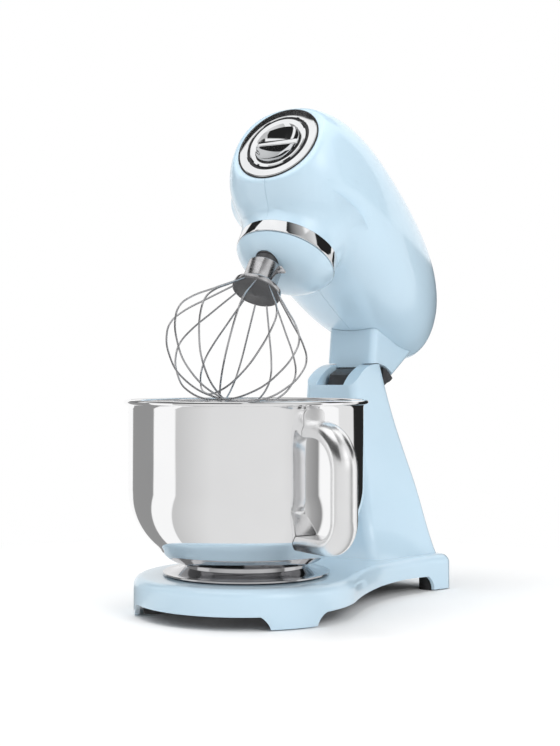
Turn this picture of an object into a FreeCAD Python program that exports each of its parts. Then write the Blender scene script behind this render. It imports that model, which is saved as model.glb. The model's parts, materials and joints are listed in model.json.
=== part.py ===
import FreeCAD, Part, Sketcher
import math
import os
from FreeCAD import Placement, Rotation, Vector

# Stand mixer with a tilting head, raised. Millimetres, +Z up, the mixer faces -Y.
# The origin lies at table level on the bowl's axis. Head pieces are drawn with the head down,
# as it works, and carried up about the hinge by their Placement.

doc = FreeCAD.newDocument("stand_mixer")
sheet = doc.addObject("Spreadsheet::Sheet", "Sizes")

SIZES = [
    # base and column
    ("platform_radius", 105.4, "round front platform about the bowl's axis"),
    ("base_waist", 83.0, "half width of the base at its waist"),
    ("base_waist_back", 116.0, "waist behind the bowl's axis"),
    ("base_rear_width", 103.8, "half width over the rear feet"),
    ("base_back", 240.0, "rear edge behind the bowl's axis"),
    ("base_height", 36.0, "top of the base"),
    ("base_edge_round", 9.0, "round along the base's top edge"),
    ("base_wall", 5.0, "wall of the base casting"),
    ("ground_gap", 1.2, "casting's feet above the table"),
    ("skirt_height", 12.5, "lower edge of the skirt between the feet"),
    ("foot_inner", 74.5, "half width between the feet"),
    ("front_foot_back", 37.0, "rear end of the front feet before the bowl's axis"),
    ("rear_foot_front", 206.0, "front end of the rear feet"),
    ("column_front", 158.0, "front face of the column"),
    ("column_back", 222.0, "rear edge at the column's top"),
    ("column_top_width", 28.0, "half width at the column's top"),
    ("column_foot_width", 88.0, "rear half width where the column meets the base"),
    ("column_round", 9.0, "round of the column's upright edges"),
    ("column_wall", 6.0, "wall of the column casting"),
    ("slot_width", 16.0, "half width of the slot between the column's ears"),
    ("slot_floor", 212.0, "front lip of the slot"),
    ("hinge_back", 209.0, "hinge axis behind the bowl's axis"),
    ("hinge_height", 164.3, "hinge axis above the table"),
    ("ear_radius", 69.5, "top of the ears about the hinge axis"),
    ("pin_radius", 6.0, "hinge pin"),
    ("pin_reach", 28.0, "half length of the hinge pin"),
    ("tilt", 33.0, "degrees the head swings up"),
    # bowl
    ("rim_radius", 115.0, "rolled rim of the bowl"),
    ("rim_height", 199.6, "top of the bowl"),
    ("bead_radius", 2.3, "half thickness of the rolled rim"),
    ("bowl_radius", 110.5, "outside of the bowl's wall"),
    ("bowl_floor", 48.8, "underside of the bowl"),
    ("bowl_floor_radius", 67.0, "flat of the bowl's underside"),
    ("bowl_wall", 1.2, "sheet of the bowl"),
    ("bowl_shoulder", 118.0, "where the straight wall turns inwards"),
    ("foot_radius", 78.2, "flange of the bowl's foot"),
    ("foot_waist", 58.0, "waist of the bowl's foot"),
    ("foot_level", 37.6, "underside of the bowl's foot"),
    ("handle_reach", 166.0, "outside of the handle from the bowl's axis"),
    ("handle_angle", 65.3, "degrees of the handle from the front"),
    ("handle_width", 25.0, "width of the handle's strap"),
    ("handle_depth", 15.0, "thickness of the handle's strap"),
    ("handle_top", 181.0, "height where the strap leaves the bowl"),
    ("handle_bottom", 77.0, "height where the strap comes back"),
    # head
    ("drive_gap", 31.0, "drive ring above the bowl's rim"),
    ("ring_radius", 50.5, "chrome ring round the drive"),
    ("ring_height", 12.6, "height of the chrome ring"),
    ("dome_depth", 23.0, "drop of the turning disc below the ring"),
    ("head_length", 345.3, "length of the head"),
    ("head_height", 140.0, "height of the head's tallest section"),
    ("head_width", 77.0, "half width of the head's widest section"),
    ("head_drop", 16.0, "belly of the head above the drive ring's lower edge"),
    ("head_wall", 4.0, "wall of the head casting"),
    ("seam_gap", 0.15, "half of the gap between the head's halves"),
    ("squareness", 2.35, "exponent of the head's section; 2 is an ellipse"),
    ("nose_front", 73.0, "front face of the nose before the bowl's axis"),
    ("hub_rise", 88.8, "attachment hub's axis above the drive ring"),
    ("badge_radius", 43.2, "chrome disc on the nose"),
    ("cap_radius", 30.8, "hub cap inside the disc"),
    ("lever_back", 168.0, "pivot of the speed lever behind the bowl's axis"),
    ("lever_lean", 22.0, "degrees the speed lever leans either way"),
    ("neck_width", 28.0, "half width of the neck collar"),
    ("neck_gap", 0.9, "neck collar above the ears"),
    # drive train
    ("gear_module", 1.3, "module of the planetary gears"),
    ("ring_teeth", 54.0, "teeth of the fixed ring gear"),
    ("planet_teeth", 15.0, "teeth of the planet gear"),
    ("gear_height", 10.0, "face width of the planetary gears"),
    ("orbit_angle", 2.4, "degrees of the tool from the front"),
    ("tool_shaft_radius", 6.5, "tool shaft"),
    ("centre_shaft_radius", 8.0, "shaft that carries the turning disc"),
    ("bevel_module", 1.6, "module of the bevel gears"),
    ("crown_teeth", 36.0, "teeth of the crown gear"),
    ("pinion_teeth", 12.0, "teeth of the bevel pinions"),
    ("motor_radius", 44.0, "motor case"),
    ("motor_front", 78.0, "front of the motor case"),
    ("motor_length", 108.0, "length of the motor case"),
    ("shaft_radius", 5.0, "motor shaft"),
    # whisk
    ("whisk_hub_top", 205.7, "top of the whisk's steel hub"),
    ("whisk_radius", 67.0, "widest half width of the wire balloon"),
    ("whisk_tip", 53.5, "lowest point of the wires with the head down"),
    ("wire_radius", 0.9, "half thickness of a whisk wire"),
    ("whisk_loops", 6.0, "wire loops of the whisk"),
    ("fit", 0.3, "gap between pieces that don't touch"),
    ("running", 0.06, "radial clearance of shafts and pins"),
]

for row, (alias, value, meaning) in enumerate(SIZES, 1):
    sheet.set(f"A{row}", meaning)
    sheet.set(f"B{row}", str(value))
    sheet.setAlias(f"B{row}", alias)
doc.recompute()


def size(alias):
    return float(sheet.get(alias))


PIECES = []


def worth(owner, expression):
    """The number that an expression over the sheet stands for."""
    value = owner.evalExpression(str(expression))
    return float(getattr(value, "Value", value))


def named(piece, label, on_head=False):
    """Gives a sub-part its name, and carries a head piece from the working position to the raised one."""
    piece.Label = label
    if on_head:
        piece.Placement = Placement(Vector(), Rotation(Vector(1, 0, 0), 0))
        back, up = "Sizes.hinge_back", "Sizes.hinge_height"
        turn = "Sizes.tilt * 1 deg"
        piece.setExpression("Placement.Rotation.Angle", "0 deg - " + turn)
        piece.setExpression("Placement.Base.y", f"{back} * (1 - cos({turn})) - {up} * sin({turn})")
        piece.setExpression("Placement.Base.z", f"{up} * (1 - cos({turn})) + {back} * sin({turn})")
    PIECES.append(piece)
    return piece


def body(name):
    return doc.addObject("PartDesign::Body", name)


def sketch(owner, plane, name, offset="0"):
    drawing = owner.newObject("Sketcher::SketchObject", name)
    origin = next(f for f in owner.Origin.OriginFeatures if f.Role == plane + "_Plane")
    drawing.AttachmentSupport = [(origin, "")]
    drawing.MapMode = "FlatFace"
    if offset != "0":
        drawing.setExpression("AttachmentOffset.Base.z", offset)
    return drawing


def arc_between(start, end, radius):
    """The short arc from start to end; a positive radius bulges to the right of the way from start to end."""
    chord = end - start
    half = chord.Length / 2
    rise = math.sqrt(max(radius * radius - half * half, 0))
    left = Vector(-chord.y, chord.x, 0).normalize()
    centre = (start + end) * 0.5 + left * math.copysign(rise, radius)
    turn = [math.atan2(p.y - centre.y, p.x - centre.x) for p in (start, end)]
    if radius < 0:
        turn.reverse()
    return Part.ArcOfCircle(Part.Circle(centre, Vector(0, 0, 1), abs(radius)), *turn)


def outline(drawing, corners, arcs=None, closed=True):
    """Draws a profile through corners, each a pair of expressions. arcs gives the edge that leaves a corner
    its radius, by that corner's number."""
    arcs = arcs or {}
    places = [Vector(worth(drawing, a), worth(drawing, b), 0) for a, b in corners]
    ends = []
    for n, start in enumerate(places if closed else places[:-1]):
        end = places[(n + 1) % len(places)]
        if n in arcs:
            radius = worth(drawing, arcs[n])
            edge = drawing.addGeometry(arc_between(start, end, radius))
            ends.append((edge, 1, 2) if radius > 0 else (edge, 2, 1))
        else:
            edge = drawing.addGeometry(Part.LineSegment(start, end))
            ends.append((edge, 1, 2))
    for n, (edge, first, _) in enumerate(ends):
        before, _, last = ends[n - 1]
        if closed or n:
            drawing.addConstraint(Sketcher.Constraint("Coincident", before, last, edge, first))
    fixed = [(edge, first) for edge, first, _ in ends]
    if not closed:
        fixed.append((ends[-1][0], ends[-1][2]))
    for n, (edge, first) in enumerate(fixed):
        for kind, text, value in zip(("DistanceX", "DistanceY"), corners[n], (places[n].x, places[n].y)):
            if abs(value) < 1e-9:
                axis = -2 if kind == "DistanceX" else -1
                drawing.addConstraint(Sketcher.Constraint("PointOnObject", edge, first, axis))
                continue
            number = drawing.addConstraint(Sketcher.Constraint(kind, -1, 1, edge, first, value))
            if "Sizes" in str(text):
                drawing.setExpression(f"Constraints[{number}]", str(text))
    for n, text in arcs.items():
        radius = abs(worth(drawing, text))
        number = drawing.addConstraint(Sketcher.Constraint("Radius", ends[n][0], radius))
        if "Sizes" in str(text):
            drawing.setExpression(f"Constraints[{number}]", f"abs({text})")
    return drawing


def circle(drawing, x, y, radius):
    """A circle whose centre and radius are expressions."""
    centre = Vector(worth(drawing, x), worth(drawing, y), 0)
    edge = drawing.addGeometry(Part.Circle(centre, Vector(0, 0, 1), worth(drawing, radius)))
    for kind, text, value in zip(("DistanceX", "DistanceY"), (x, y), (centre.x, centre.y)):
        if abs(value) < 1e-9:
            axis = -2 if kind == "DistanceX" else -1
            drawing.addConstraint(Sketcher.Constraint("PointOnObject", edge, 3, axis))
            continue
        number = drawing.addConstraint(Sketcher.Constraint(kind, -1, 1, edge, 3, value))
        if "Sizes" in str(text):
            drawing.setExpression(f"Constraints[{number}]", str(text))
    number = drawing.addConstraint(Sketcher.Constraint("Radius", edge, worth(drawing, radius)))
    if "Sizes" in str(radius):
        drawing.setExpression(f"Constraints[{number}]", str(radius))
    return drawing


def feature(owner, kind, name, profile, **settings):
    """A PartDesign feature on a profile; sizes given as text are expressions."""
    made = owner.newObject("PartDesign::" + kind, name)
    made.Profile = profile
    for key, value in settings.items():
        if isinstance(value, str) and key != "Type":
            made.setExpression(key, value)
        else:
            setattr(made, key, value)
    return made


def revolved(owner, name, profile, kind="Revolution", axis="V_Axis"):
    made = owner.newObject("PartDesign::" + kind, name)
    made.Profile = profile
    made.ReferenceAxis = (profile, [axis])
    made.Angle = 360
    return made


def through(owner, name, profile):
    """A pocket through everything on both sides of its sketch."""
    return feature(owner, "Pocket", name, profile, Type="ThroughAll", Midplane=True)


def rounded(owner, name, radius, choose):
    """Rounds the edges of the body's tip that choose accepts."""
    doc.recompute()
    tip = owner.Tip
    edges = [f"Edge{n}" for n, edge in enumerate(tip.Shape.Edges, 1) if choose(edge)]
    made = owner.newObject("PartDesign::Fillet", name)
    made.Base = (tip, edges)
    made.setExpression("Radius", radius)
    return made


def cylinder(name, radius, height, x="0", y="0", z="0", along="Z"):
    """A primitive cylinder from a point along an axis; every size is an expression."""
    made = doc.addObject("Part::Cylinder", name)
    turns = {"Z": Rotation(), "Y": Rotation(Vector(1, 0, 0), -90), "X": Rotation(Vector(0, 1, 0), 90)}
    made.Placement = Placement(Vector(), turns[along])
    made.setExpression("Radius", radius)
    made.setExpression("Height", height)
    for side, text in zip("xyz", (x, y, z)):
        made.setExpression("Placement.Base." + side, text)
    return made


def block(name, length, width, height, x, y, z):
    """A primitive box from its lowest corner; every size is an expression."""
    made = doc.addObject("Part::Box", name)
    for key, text in (("Length", length), ("Width", width), ("Height", height)):
        made.setExpression(key, text)
    for side, text in zip("xyz", (x, y, z)):
        made.setExpression("Placement.Base." + side, text)
    return made


def cut(name, base, *tools):
    made = doc.addObject("Part::Cut", name)
    made.Base = base
    made.Tool = tools[0] if len(tools) == 1 else fused(name + "_tools", *tools)
    return made


def fused(name, *shapes):
    made = doc.addObject("Part::MultiFuse", name)
    made.Shapes = list(shapes)
    made.Refine = True
    return made


def group(name, shapes):
    """Several separate solids kept as one sub-part."""
    made = doc.addObject("Part::Compound", name)
    made.Links = shapes
    return made


# --------------------------------------------------------------------------- base and column


def base_outline(drawing, inset="0"):
    """Plan of the base: round platform, waist and wide rear, drawn in by inset."""
    swing = "14 deg"
    front = f"(Sizes.platform_radius - {inset})"
    waist = f"(Sizes.base_waist - {inset})"
    rear = f"(Sizes.base_rear_width - {inset})"
    back = f"(Sizes.base_back - {inset})"
    corner = "16"
    right = [
        ("0", f"-{front}"),
        (f"{front} * cos({swing})", f"{front} * sin({swing})"),
        (waist, "Sizes.base_waist_back"),
        (rear, f"{back} - {corner}"),
        (f"{rear} - {corner}", back),
    ]
    left = [(f"-({x})", y) for x, y in reversed(right[1:])]
    hollow_front = "-390"
    hollow_rear = "-260"
    arcs = {0: front, 1: hollow_front, 2: hollow_rear, 3: f"{corner} + 0.01"}
    arcs.update({5: f"{corner} + 0.01", 6: hollow_rear, 7: hollow_front, 8: front})
    return outline(drawing, right + left, arcs)


# height above the base, front face, front half width, rear edge and rear half width,
# as shares of the column's sizes
COLUMN = [
    ("Sizes.base_height - 4", "-22", "39", "15", "1.042"),
    ("Sizes.base_height + 10", "-8", "27", "13.5", "0.958"),
    ("Sizes.base_height + 0.18 * Sizes.hinge_height", "-1", "18", "12", "0.863"),
    ("Sizes.base_height + 0.42 * Sizes.hinge_height", "0", "13", "9", "0.675"),
    ("Sizes.base_height + 0.69 * Sizes.hinge_height", "0", "8", "6", "0.412"),
    ("Sizes.hinge_height + 0.5 * Sizes.ear_radius", "0", "2.5", "3", "0.15"),
    ("Sizes.hinge_height + Sizes.ear_radius + 2", "0", "0", "0", "0"),
]


def column_section(owner, number, inset):
    """Plan of the column at one height: narrow in front, wide behind, with rounded corners."""
    height, forward, front_more, back_more, spread = COLUMN[number]
    front = f"(Sizes.column_front + {forward} + {inset})"
    back = f"(Sizes.column_back + {back_more} - {inset})"
    narrow = f"(Sizes.column_top_width + {front_more} - {inset})"
    spare = "(Sizes.column_foot_width - Sizes.column_top_width)"
    wide = f"(Sizes.column_top_width + {spread} * {spare} - {inset})"
    corner = "Sizes.column_round"
    side = f"sqrt(({wide} - {narrow})^2 + ({back} - {front})^2)"
    across, along = f"{corner} * ({wide} - {narrow}) / {side}", f"{corner} * ({back} - {front}) / {side}"
    lean = f"asin(({wide} - {narrow}) / {side})"
    drawing = sketch(owner, "XY", f"column_plan_{number}", height)
    right = [
        (f"{narrow} - {corner}", front),
        (f"{narrow} + {across}", f"{front} + {along}"),
        (f"{wide} - {across}", f"{back} - {along}"),
        (f"{wide} - {corner}", back),
    ]
    left = [(f"-({x})", y) for x, y in reversed(right)]
    blunt, sharp = f"{corner} * tan(45 deg + {lean} / 2)", f"{corner} * tan(45 deg - {lean} / 2)"
    return outline(drawing, right + left, {0: blunt, 2: sharp, 4: sharp, 6: blunt})


def make_base():
    casting = body("base_casting_body")
    plan = base_outline(sketch(casting, "XY", "base_plan", "Sizes.ground_gap"))
    feature(casting, "Pad", "base_block", plan, Length="Sizes.base_height - Sizes.ground_gap")

    def top_edge(edge):
        box = edge.BoundBox
        return abs(box.ZMin - size("base_height")) < 0.01 and box.ZLength < 0.01

    rounded(casting, "base_top_round", "Sizes.base_edge_round", top_edge)
    sections = [column_section(casting, n, "0") for n in range(len(COLUMN))]
    feature(casting, "AdditiveLoft", "column", sections[0], Sections=sections[1:], Ruled=False)

    # the hollow of the casting, open below
    inner = base_outline(sketch(casting, "XY", "hollow_plan", "0"), "Sizes.base_wall")
    feature(casting, "Pocket", "base_hollow", inner, Length="Sizes.base_height - Sizes.base_wall", Reversed=True)
    shaft = sketch(casting, "XY", "column_hollow_plan", "0")
    wall = "Sizes.column_wall"
    outline(
        shaft,
        [
            (f"-(34 - {wall})", f"Sizes.column_front + 2 + {wall}"),
            (f"34 - {wall}", f"Sizes.column_front + 2 + {wall}"),
            (f"54 - {wall}", f"Sizes.column_back + 4 - {wall}"),
            (f"-(54 - {wall})", f"Sizes.column_back + 4 - {wall}"),
        ],
    )
    feature(casting, "Pocket", "column_hollow", shaft, Length="Sizes.base_height + 90", Reversed=True)

    # arches of the skirt between the feet, from the sides and from the front
    foot, arch = "Sizes.front_foot_back", "Sizes.skirt_height"
    side = sketch(casting, "YZ", "side_arch_profile")
    outline(
        side,
        [
            (f"-{foot}", "-1"),
            (f"12 - {foot}", arch),
            ("60", f"{arch} + 2"),
            ("Sizes.rear_foot_front - 40", f"{arch} + 4"),
            ("Sizes.rear_foot_front - 8", f"{arch} + 3"),
            ("Sizes.rear_foot_front", "-1"),
        ],
        {0: "-16", 4: "-16"},
    )
    through(casting, "side_arch", side)
    front = sketch(casting, "XZ", "front_arch_profile")
    inner_foot = "Sizes.foot_inner"
    outline(
        front,
        [
            (f"-{inner_foot}", "-1"),
            (f"-({inner_foot} - 7)", arch),
            (f"{inner_foot} - 7", arch),
            (inner_foot, "-1"),
        ],
        {0: "-20", 2: "-20"},
    )
    through(casting, "front_arch", front)

    cord = sketch(casting, "XZ", "cord_hole_profile", "-(Sizes.base_back - 12)")
    circle(cord, "60", "21.5", "6.1")
    feature(casting, "Pocket", "cord_hole", cord, Length="20")

    # the ears: their top is an arc about the hinge; the slot between them is open in front,
    # above and behind
    back, up, ear = "Sizes.hinge_back", "Sizes.hinge_height", "Sizes.ear_radius"
    lean = "48 deg"
    crown = sketch(casting, "YZ", "ear_profile")
    outline(
        crown,
        [
            ("Sizes.column_front - 40", f"{up} + {ear} * cos({lean})"),
            (f"{back} - {ear} * sin({lean})", f"{up} + {ear} * cos({lean})"),
            (f"{back} + {ear} * sin(30 deg)", f"{up} + {ear} * cos(30 deg)"),
            (f"{back} + {ear} + 20", f"{up} + {ear} * cos(30 deg)"),
            (f"{back} + {ear} + 20", f"{up} + {ear} + 60"),
            ("Sizes.column_front - 40", f"{up} + {ear} + 60"),
        ],
        {1: f"-{ear}"},
    )
    through(casting, "ear_top", crown)
    slot = sketch(casting, "YZ", "slot_profile")
    outline(
        slot,
        [
            ("Sizes.column_front - 30", "Sizes.slot_floor"),
            ("Sizes.column_front + 15.5", "Sizes.slot_floor"),
            ("Sizes.column_front + 30", f"{up} - 22"),
            ("Sizes.column_back + 30", f"{up} - 22"),
            ("Sizes.column_back + 30", f"{up} + {ear} + 40"),
            ("Sizes.column_front - 30", f"{up} + {ear} + 40"),
        ],
    )
    feature(casting, "Pocket", "slot", slot, Length="2 * Sizes.slot_width", Midplane=True)

    # the bore of the hinge pin, blind in both ears
    bore = sketch(casting, "YZ", "pin_bore_profile")
    circle(bore, back, up, "Sizes.pin_radius + Sizes.running")
    feature(casting, "Pocket", "pin_bore", bore, Length="2 * (Sizes.pin_reach + Sizes.fit)", Midplane=True)
    return named(casting, "base_casting")


make_base()


def make_base_fittings():
    """The cover, feet, hinge pin, bushes and cord gland that the base casting carries."""
    cover = body("bottom_cover_body")
    gap = "(Sizes.base_wall + Sizes.fit)"
    level = "(Sizes.skirt_height + 4.5)"
    plan = base_outline(sketch(cover, "XY", "cover_plan", level), gap)
    feature(cover, "Pad", "cover_plate", plan, Length="3")
    named(cover, "bottom_cover")

    ring = "(Sizes.platform_radius - Sizes.base_wall - 15)"
    spots = [("sin(56 deg) * " + ring, "-cos(56 deg) * " + ring), ("86", "Sizes.rear_foot_front + 12")]
    feet = []
    for n, (x, y) in enumerate(spots):
        for side in ("", "-"):
            tag = f"{n}{'r' if side else 'l'}"
            across = f"{side}({x})"
            pad = cylinder("foot_pad_" + tag, "11", level, across, y, "0")
            feet.append(pad)
    named(group("feet_group", feet), "rubber_feet")

    screws = []
    for n, (x, y) in enumerate([("60", "30"), ("60", "170"), ("0", "-60"), ("0", "100")]):
        for side in ("", "-"):
            if x == "0" and side:
                continue
            tag = f"{n}{'r' if side else 'l'}"
            across = f"{side}{x}" if x != "0" else "0"
            head = cylinder("screw_head_" + tag, "4", "2.4", across, y, f"{level} - 2.4")
            screws.append(head)
    named(group("cover_screws_group", screws), "cover_screws")

    pin = cylinder("hinge_pin_rod", "Sizes.pin_radius", "2 * Sizes.pin_reach", "-Sizes.pin_reach",
                   "Sizes.hinge_back", "Sizes.hinge_height", "X")
    named(pin, "hinge_pin")


make_base_fittings()


# --------------------------------------------------------------------------- bowl


# the bowl's lower wall turns in tangentially, then more sharply at its heel
BOWL_SLOPE = "(Sizes.bowl_radius - 26)"
BOWL_KNEE = "(Sizes.bowl_floor + 14.2)"
BOWL_SIDE = f"((26^2 + (Sizes.bowl_shoulder - {BOWL_KNEE})^2) / 52)"
BOWL_HEEL = "40"


def make_bowl():
    shell = body("bowl_body")
    wall = "Sizes.bowl_wall"
    out, floor, flat = "Sizes.bowl_radius", "Sizes.bowl_floor", "Sizes.bowl_floor_radius"
    turn = "Sizes.bowl_shoulder"
    slope, knee = BOWL_SLOPE, BOWL_KNEE
    lip = "(Sizes.rim_height - 2 * Sizes.bead_radius)"
    profile = sketch(shell, "XZ", "bowl_profile")
    outline(
        profile,
        [
            ("0", floor),
            (flat, floor),
            (slope, knee),
            (out, turn),
            (out, f"{lip} + 1"),
            (f"{out} - {wall}", f"{lip} + 1"),
            (f"{out} - {wall}", turn),
            (f"{slope} - {wall} * 0.7", f"{knee} + {wall} * 0.72"),
            (f"{flat} - {wall} * 0.4", f"{floor} + {wall}"),
            ("0", f"{floor} + {wall}"),
        ],
        {1: BOWL_HEEL, 2: BOWL_SIDE, 6: f"-({BOWL_SIDE} - {wall})", 7: f"-({BOWL_HEEL} - {wall})"},
    )
    revolved(shell, "bowl_sheet", profile)
    bead = sketch(shell, "XZ", "bead_profile")
    circle(bead, "Sizes.rim_radius - Sizes.bead_radius", "Sizes.rim_height - Sizes.bead_radius",
           "Sizes.bead_radius")
    revolved(shell, "rolled_rim", bead)
    flare = sketch(shell, "XZ", "flare_profile")
    outline(
        flare,
        [
            (f"{out} - {wall}", f"{lip} - 2"),
            (out, f"{lip} - 2"),
            ("Sizes.rim_radius - Sizes.bead_radius + 0.8", "Sizes.rim_height - 1.5 * Sizes.bead_radius"),
            ("Sizes.rim_radius - Sizes.bead_radius - 1.2", "Sizes.rim_height - 1.0 * Sizes.bead_radius"),
        ],
    )
    revolved(shell, "rim_flare", flare)
    named(shell, "bowl")

    ring = body("bowl_foot_body")
    edge, waist, low = "Sizes.foot_radius", "Sizes.foot_waist", "Sizes.foot_level"
    section = sketch(ring, "XZ", "foot_profile")
    outline(
        section,
        [
            (f"{waist} - 4", low),
            (edge, low),
            (edge, f"{low} + 1.5"),
            (waist, f"{low} + 6.5"),
            (waist, f"{floor} - 1.5"),
            (f"{flat} - 0.5", f"{floor} - 0.02"),
            (f"{waist} - 4", f"{floor} - 0.02"),
        ],
        {2: "-28"},
    )
    revolved(ring, "foot_ring", section)
    lug = sketch(ring, "XY", "bayonet_lug_plan", low)
    inner, outer = "(Sizes.foot_waist - 9)", "(Sizes.foot_waist - 3)"
    outline(
        lug,
        [
            (f"{inner} * cos(14 deg)", f"-{inner} * sin(14 deg)"),
            (f"{outer} * cos(14 deg)", f"-{outer} * sin(14 deg)"),
            (f"{outer} * cos(14 deg)", f"{outer} * sin(14 deg)"),
            (f"{inner} * cos(14 deg)", f"{inner} * sin(14 deg)"),
        ],
        {1: outer, 3: f"-{inner}"},
    )
    pad = feature(ring, "Pad", "bayonet_lug", lug, Length="2.4")
    array = ring.newObject("PartDesign::PolarPattern", "bayonet_lugs")
    array.Originals = [pad]
    array.Axis = (lug, ["N_Axis"])
    array.Angle = 360
    array.Occurrences = 3
    ring.Tip = array
    named(ring, "bowl_foot")


def make_handle():
    """A crowned strap from a tab under the rim, down outside the wall and back in near the foot."""
    handle = body("bowl_handle_body")
    wall, line = "Sizes.bowl_radius", "(Sizes.handle_reach - Sizes.handle_depth)"
    top, bottom = "(Sizes.handle_top - 13)", "(Sizes.handle_bottom + 4)"
    half, crown, side = "(Sizes.handle_width / 2)", "(Sizes.handle_depth - 6)", "6"

    # tab against the wall, with rounded corners
    tab = sketch(handle, "YZ", "tab_profile", f"{wall} - 8")
    low, high, corner = "(Sizes.handle_top - 11)", "(Sizes.rim_height - 6.6)", "6"
    wide = "10.5"
    outline(
        tab,
        [
            (f"-({wide})", low), (wide, low), (wide, f"{high} - {corner}"), (f"{wide} - {corner}", high),
            (f"-({wide} - {corner})", high), (f"-({wide})", f"{high} - {corner}"),
        ],
        {2: corner, 4: corner},
    )
    feature(handle, "Pad", "tab", tab, Length="18")
    shave = sketch(handle, "XZ", "tab_face_profile")
    outline(
        shave,
        [
            (f"{wall} + 2.2", f"{low} - 5"), (f"{wall} + 30", f"{low} - 5"),
            (f"{wall} + 30", f"{high} + 5"), (f"{wall} + 2.2", f"{high} + 5"),
        ],
    )
    revolved(handle, "tab_face", shave, "Groove")

    # the strap swept down its path
    path = sketch(handle, "XZ", "handle_path")
    bend, turn = "28", "18"
    outline(
        path,
        [
            (f"{wall} - 6", top), (f"{line} - {bend}", top), (line, f"{top} - {bend}"),
            (line, f"{bottom} + {turn}"), (f"{line} - {turn}", bottom), (f"{wall} - 30", bottom),
        ],
        {1: f"-({bend} + 0.001)", 3: f"-({turn} + 0.001)"},
        closed=False,
    )
    section = sketch(handle, "YZ", "strap_profile", f"{wall} - 6")
    outline(
        section,
        [
            (f"-({half} - 2)", top), (f"{half} - 2", top), (half, f"{top} + 2"), (half, f"{top} + {side}"),
            (f"-{half}", f"{top} + {side}"), (f"-{half}", f"{top} + 2"),
        ],
        {1: "2.001", 3: f"({half}^2 + {crown}^2) / (2 * {crown})", 5: "2.001"},
    )
    strap = feature(handle, "AdditivePipe", "strap", section)
    strap.Spine = (path, [])

    # both ends follow the bowl's wall
    seat = "0.35"
    clear = sketch(handle, "XZ", "seat_profile")
    outline(
        clear,
        [
            ("0", f"Sizes.bowl_floor - {seat}"), (f"Sizes.bowl_floor_radius", f"Sizes.bowl_floor - {seat}"),
            (f"{BOWL_SLOPE} + {seat}", f"{BOWL_KNEE} - {seat}"),
            (f"{wall} + {seat}", "Sizes.bowl_shoulder"), (f"{wall} + {seat}", "Sizes.rim_height + 20"),
            ("0", "Sizes.rim_height + 20"),
        ],
        {1: BOWL_HEEL, 2: BOWL_SIDE},
    )
    revolved(handle, "seat", clear, "Groove")
    handle.Placement = Placement(Vector(), Rotation(Vector(0, 0, 1), 1))
    handle.setExpression("Placement.Rotation.Angle", "(Sizes.handle_angle - 90) * 1 deg")
    return named(handle, "bowl_handle")


make_handle()
make_bowl()


# --------------------------------------------------------------------------- head

DECK = "(Sizes.rim_height + Sizes.drive_gap)"
HUB = f"({DECK} + Sizes.hub_rise)"
ORBIT = "(Sizes.gear_module * (Sizes.ring_teeth - Sizes.planet_teeth) / 2)"
TOOL_X = f"(-{ORBIT} * sin(Sizes.orbit_angle * 1 deg))"
TOOL_Y = f"(-{ORBIT} * cos(Sizes.orbit_angle * 1 deg))"


def turned(owner, name, corners, arcs=None, at=("0", "0", "0"), along="Z", kind="Revolution"):
    """Turns corners, each a radius and a place along the axis, about an axis through a point."""
    arcs = arcs or {}
    drawing = sketch(owner, "XZ" if along == "Z" else "YZ", name + "_profile")
    across = (at[0], at[2], f"-({at[1]})") if along == "Z" else (at[1], at[2], at[0])
    for side, text in zip("xyz", across):
        if text not in ("0", "-(0)"):
            drawing.setExpression("AttachmentOffset.Base." + side, text)
    if along == "Y":
        corners = [(place, radius) for radius, place in corners]
        arcs = {n: f"-({text})" for n, text in arcs.items()}
    outline(drawing, corners, arcs)
    return revolved(owner, name, drawing, kind, "V_Axis" if along == "Z" else "H_Axis")


def lathe(name, corners, arcs=None, at=("0", "0", "0"), along="Z"):
    """A turned sub-part."""
    owner = body(name + "_body")
    turned(owner, name + "_turned", corners, arcs, at, along)
    return owner


def tube(low, high, inner, outer):
    """Profile of a plain ring from low to high along its axis."""
    return [(inner, low), (outer, low), (outer, high), (inner, high)]


# place behind the nose, top, bottom and half width as shares of the head's length, height and width
HEAD = [
    (0.000, 0.825, 0.203, 0.600),
    (0.004, 0.850, 0.178, 0.643),
    (0.014, 0.870, 0.153, 0.684),
    (0.052, 0.924, 0.074, 0.779),
    (0.153, 0.989, 0.028, 0.916),
    (0.327, 1.003, 0.000, 1.000),
    (0.530, 1.003, 0.003, 0.968),
    (0.646, 0.985, 0.033, 0.909),
    (0.733, 0.960, 0.078, 0.831),
    (0.820, 0.921, 0.130, 0.714),
    (0.878, 0.882, 0.180, 0.610),
    (0.916, 0.828, 0.215, 0.519),
    (0.948, 0.741, 0.262, 0.390),
    (0.974, 0.643, 0.330, 0.253),
    (0.991, 0.560, 0.393, 0.130),
    (1.000, 0.500, 0.440, 0.042),
]


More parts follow.
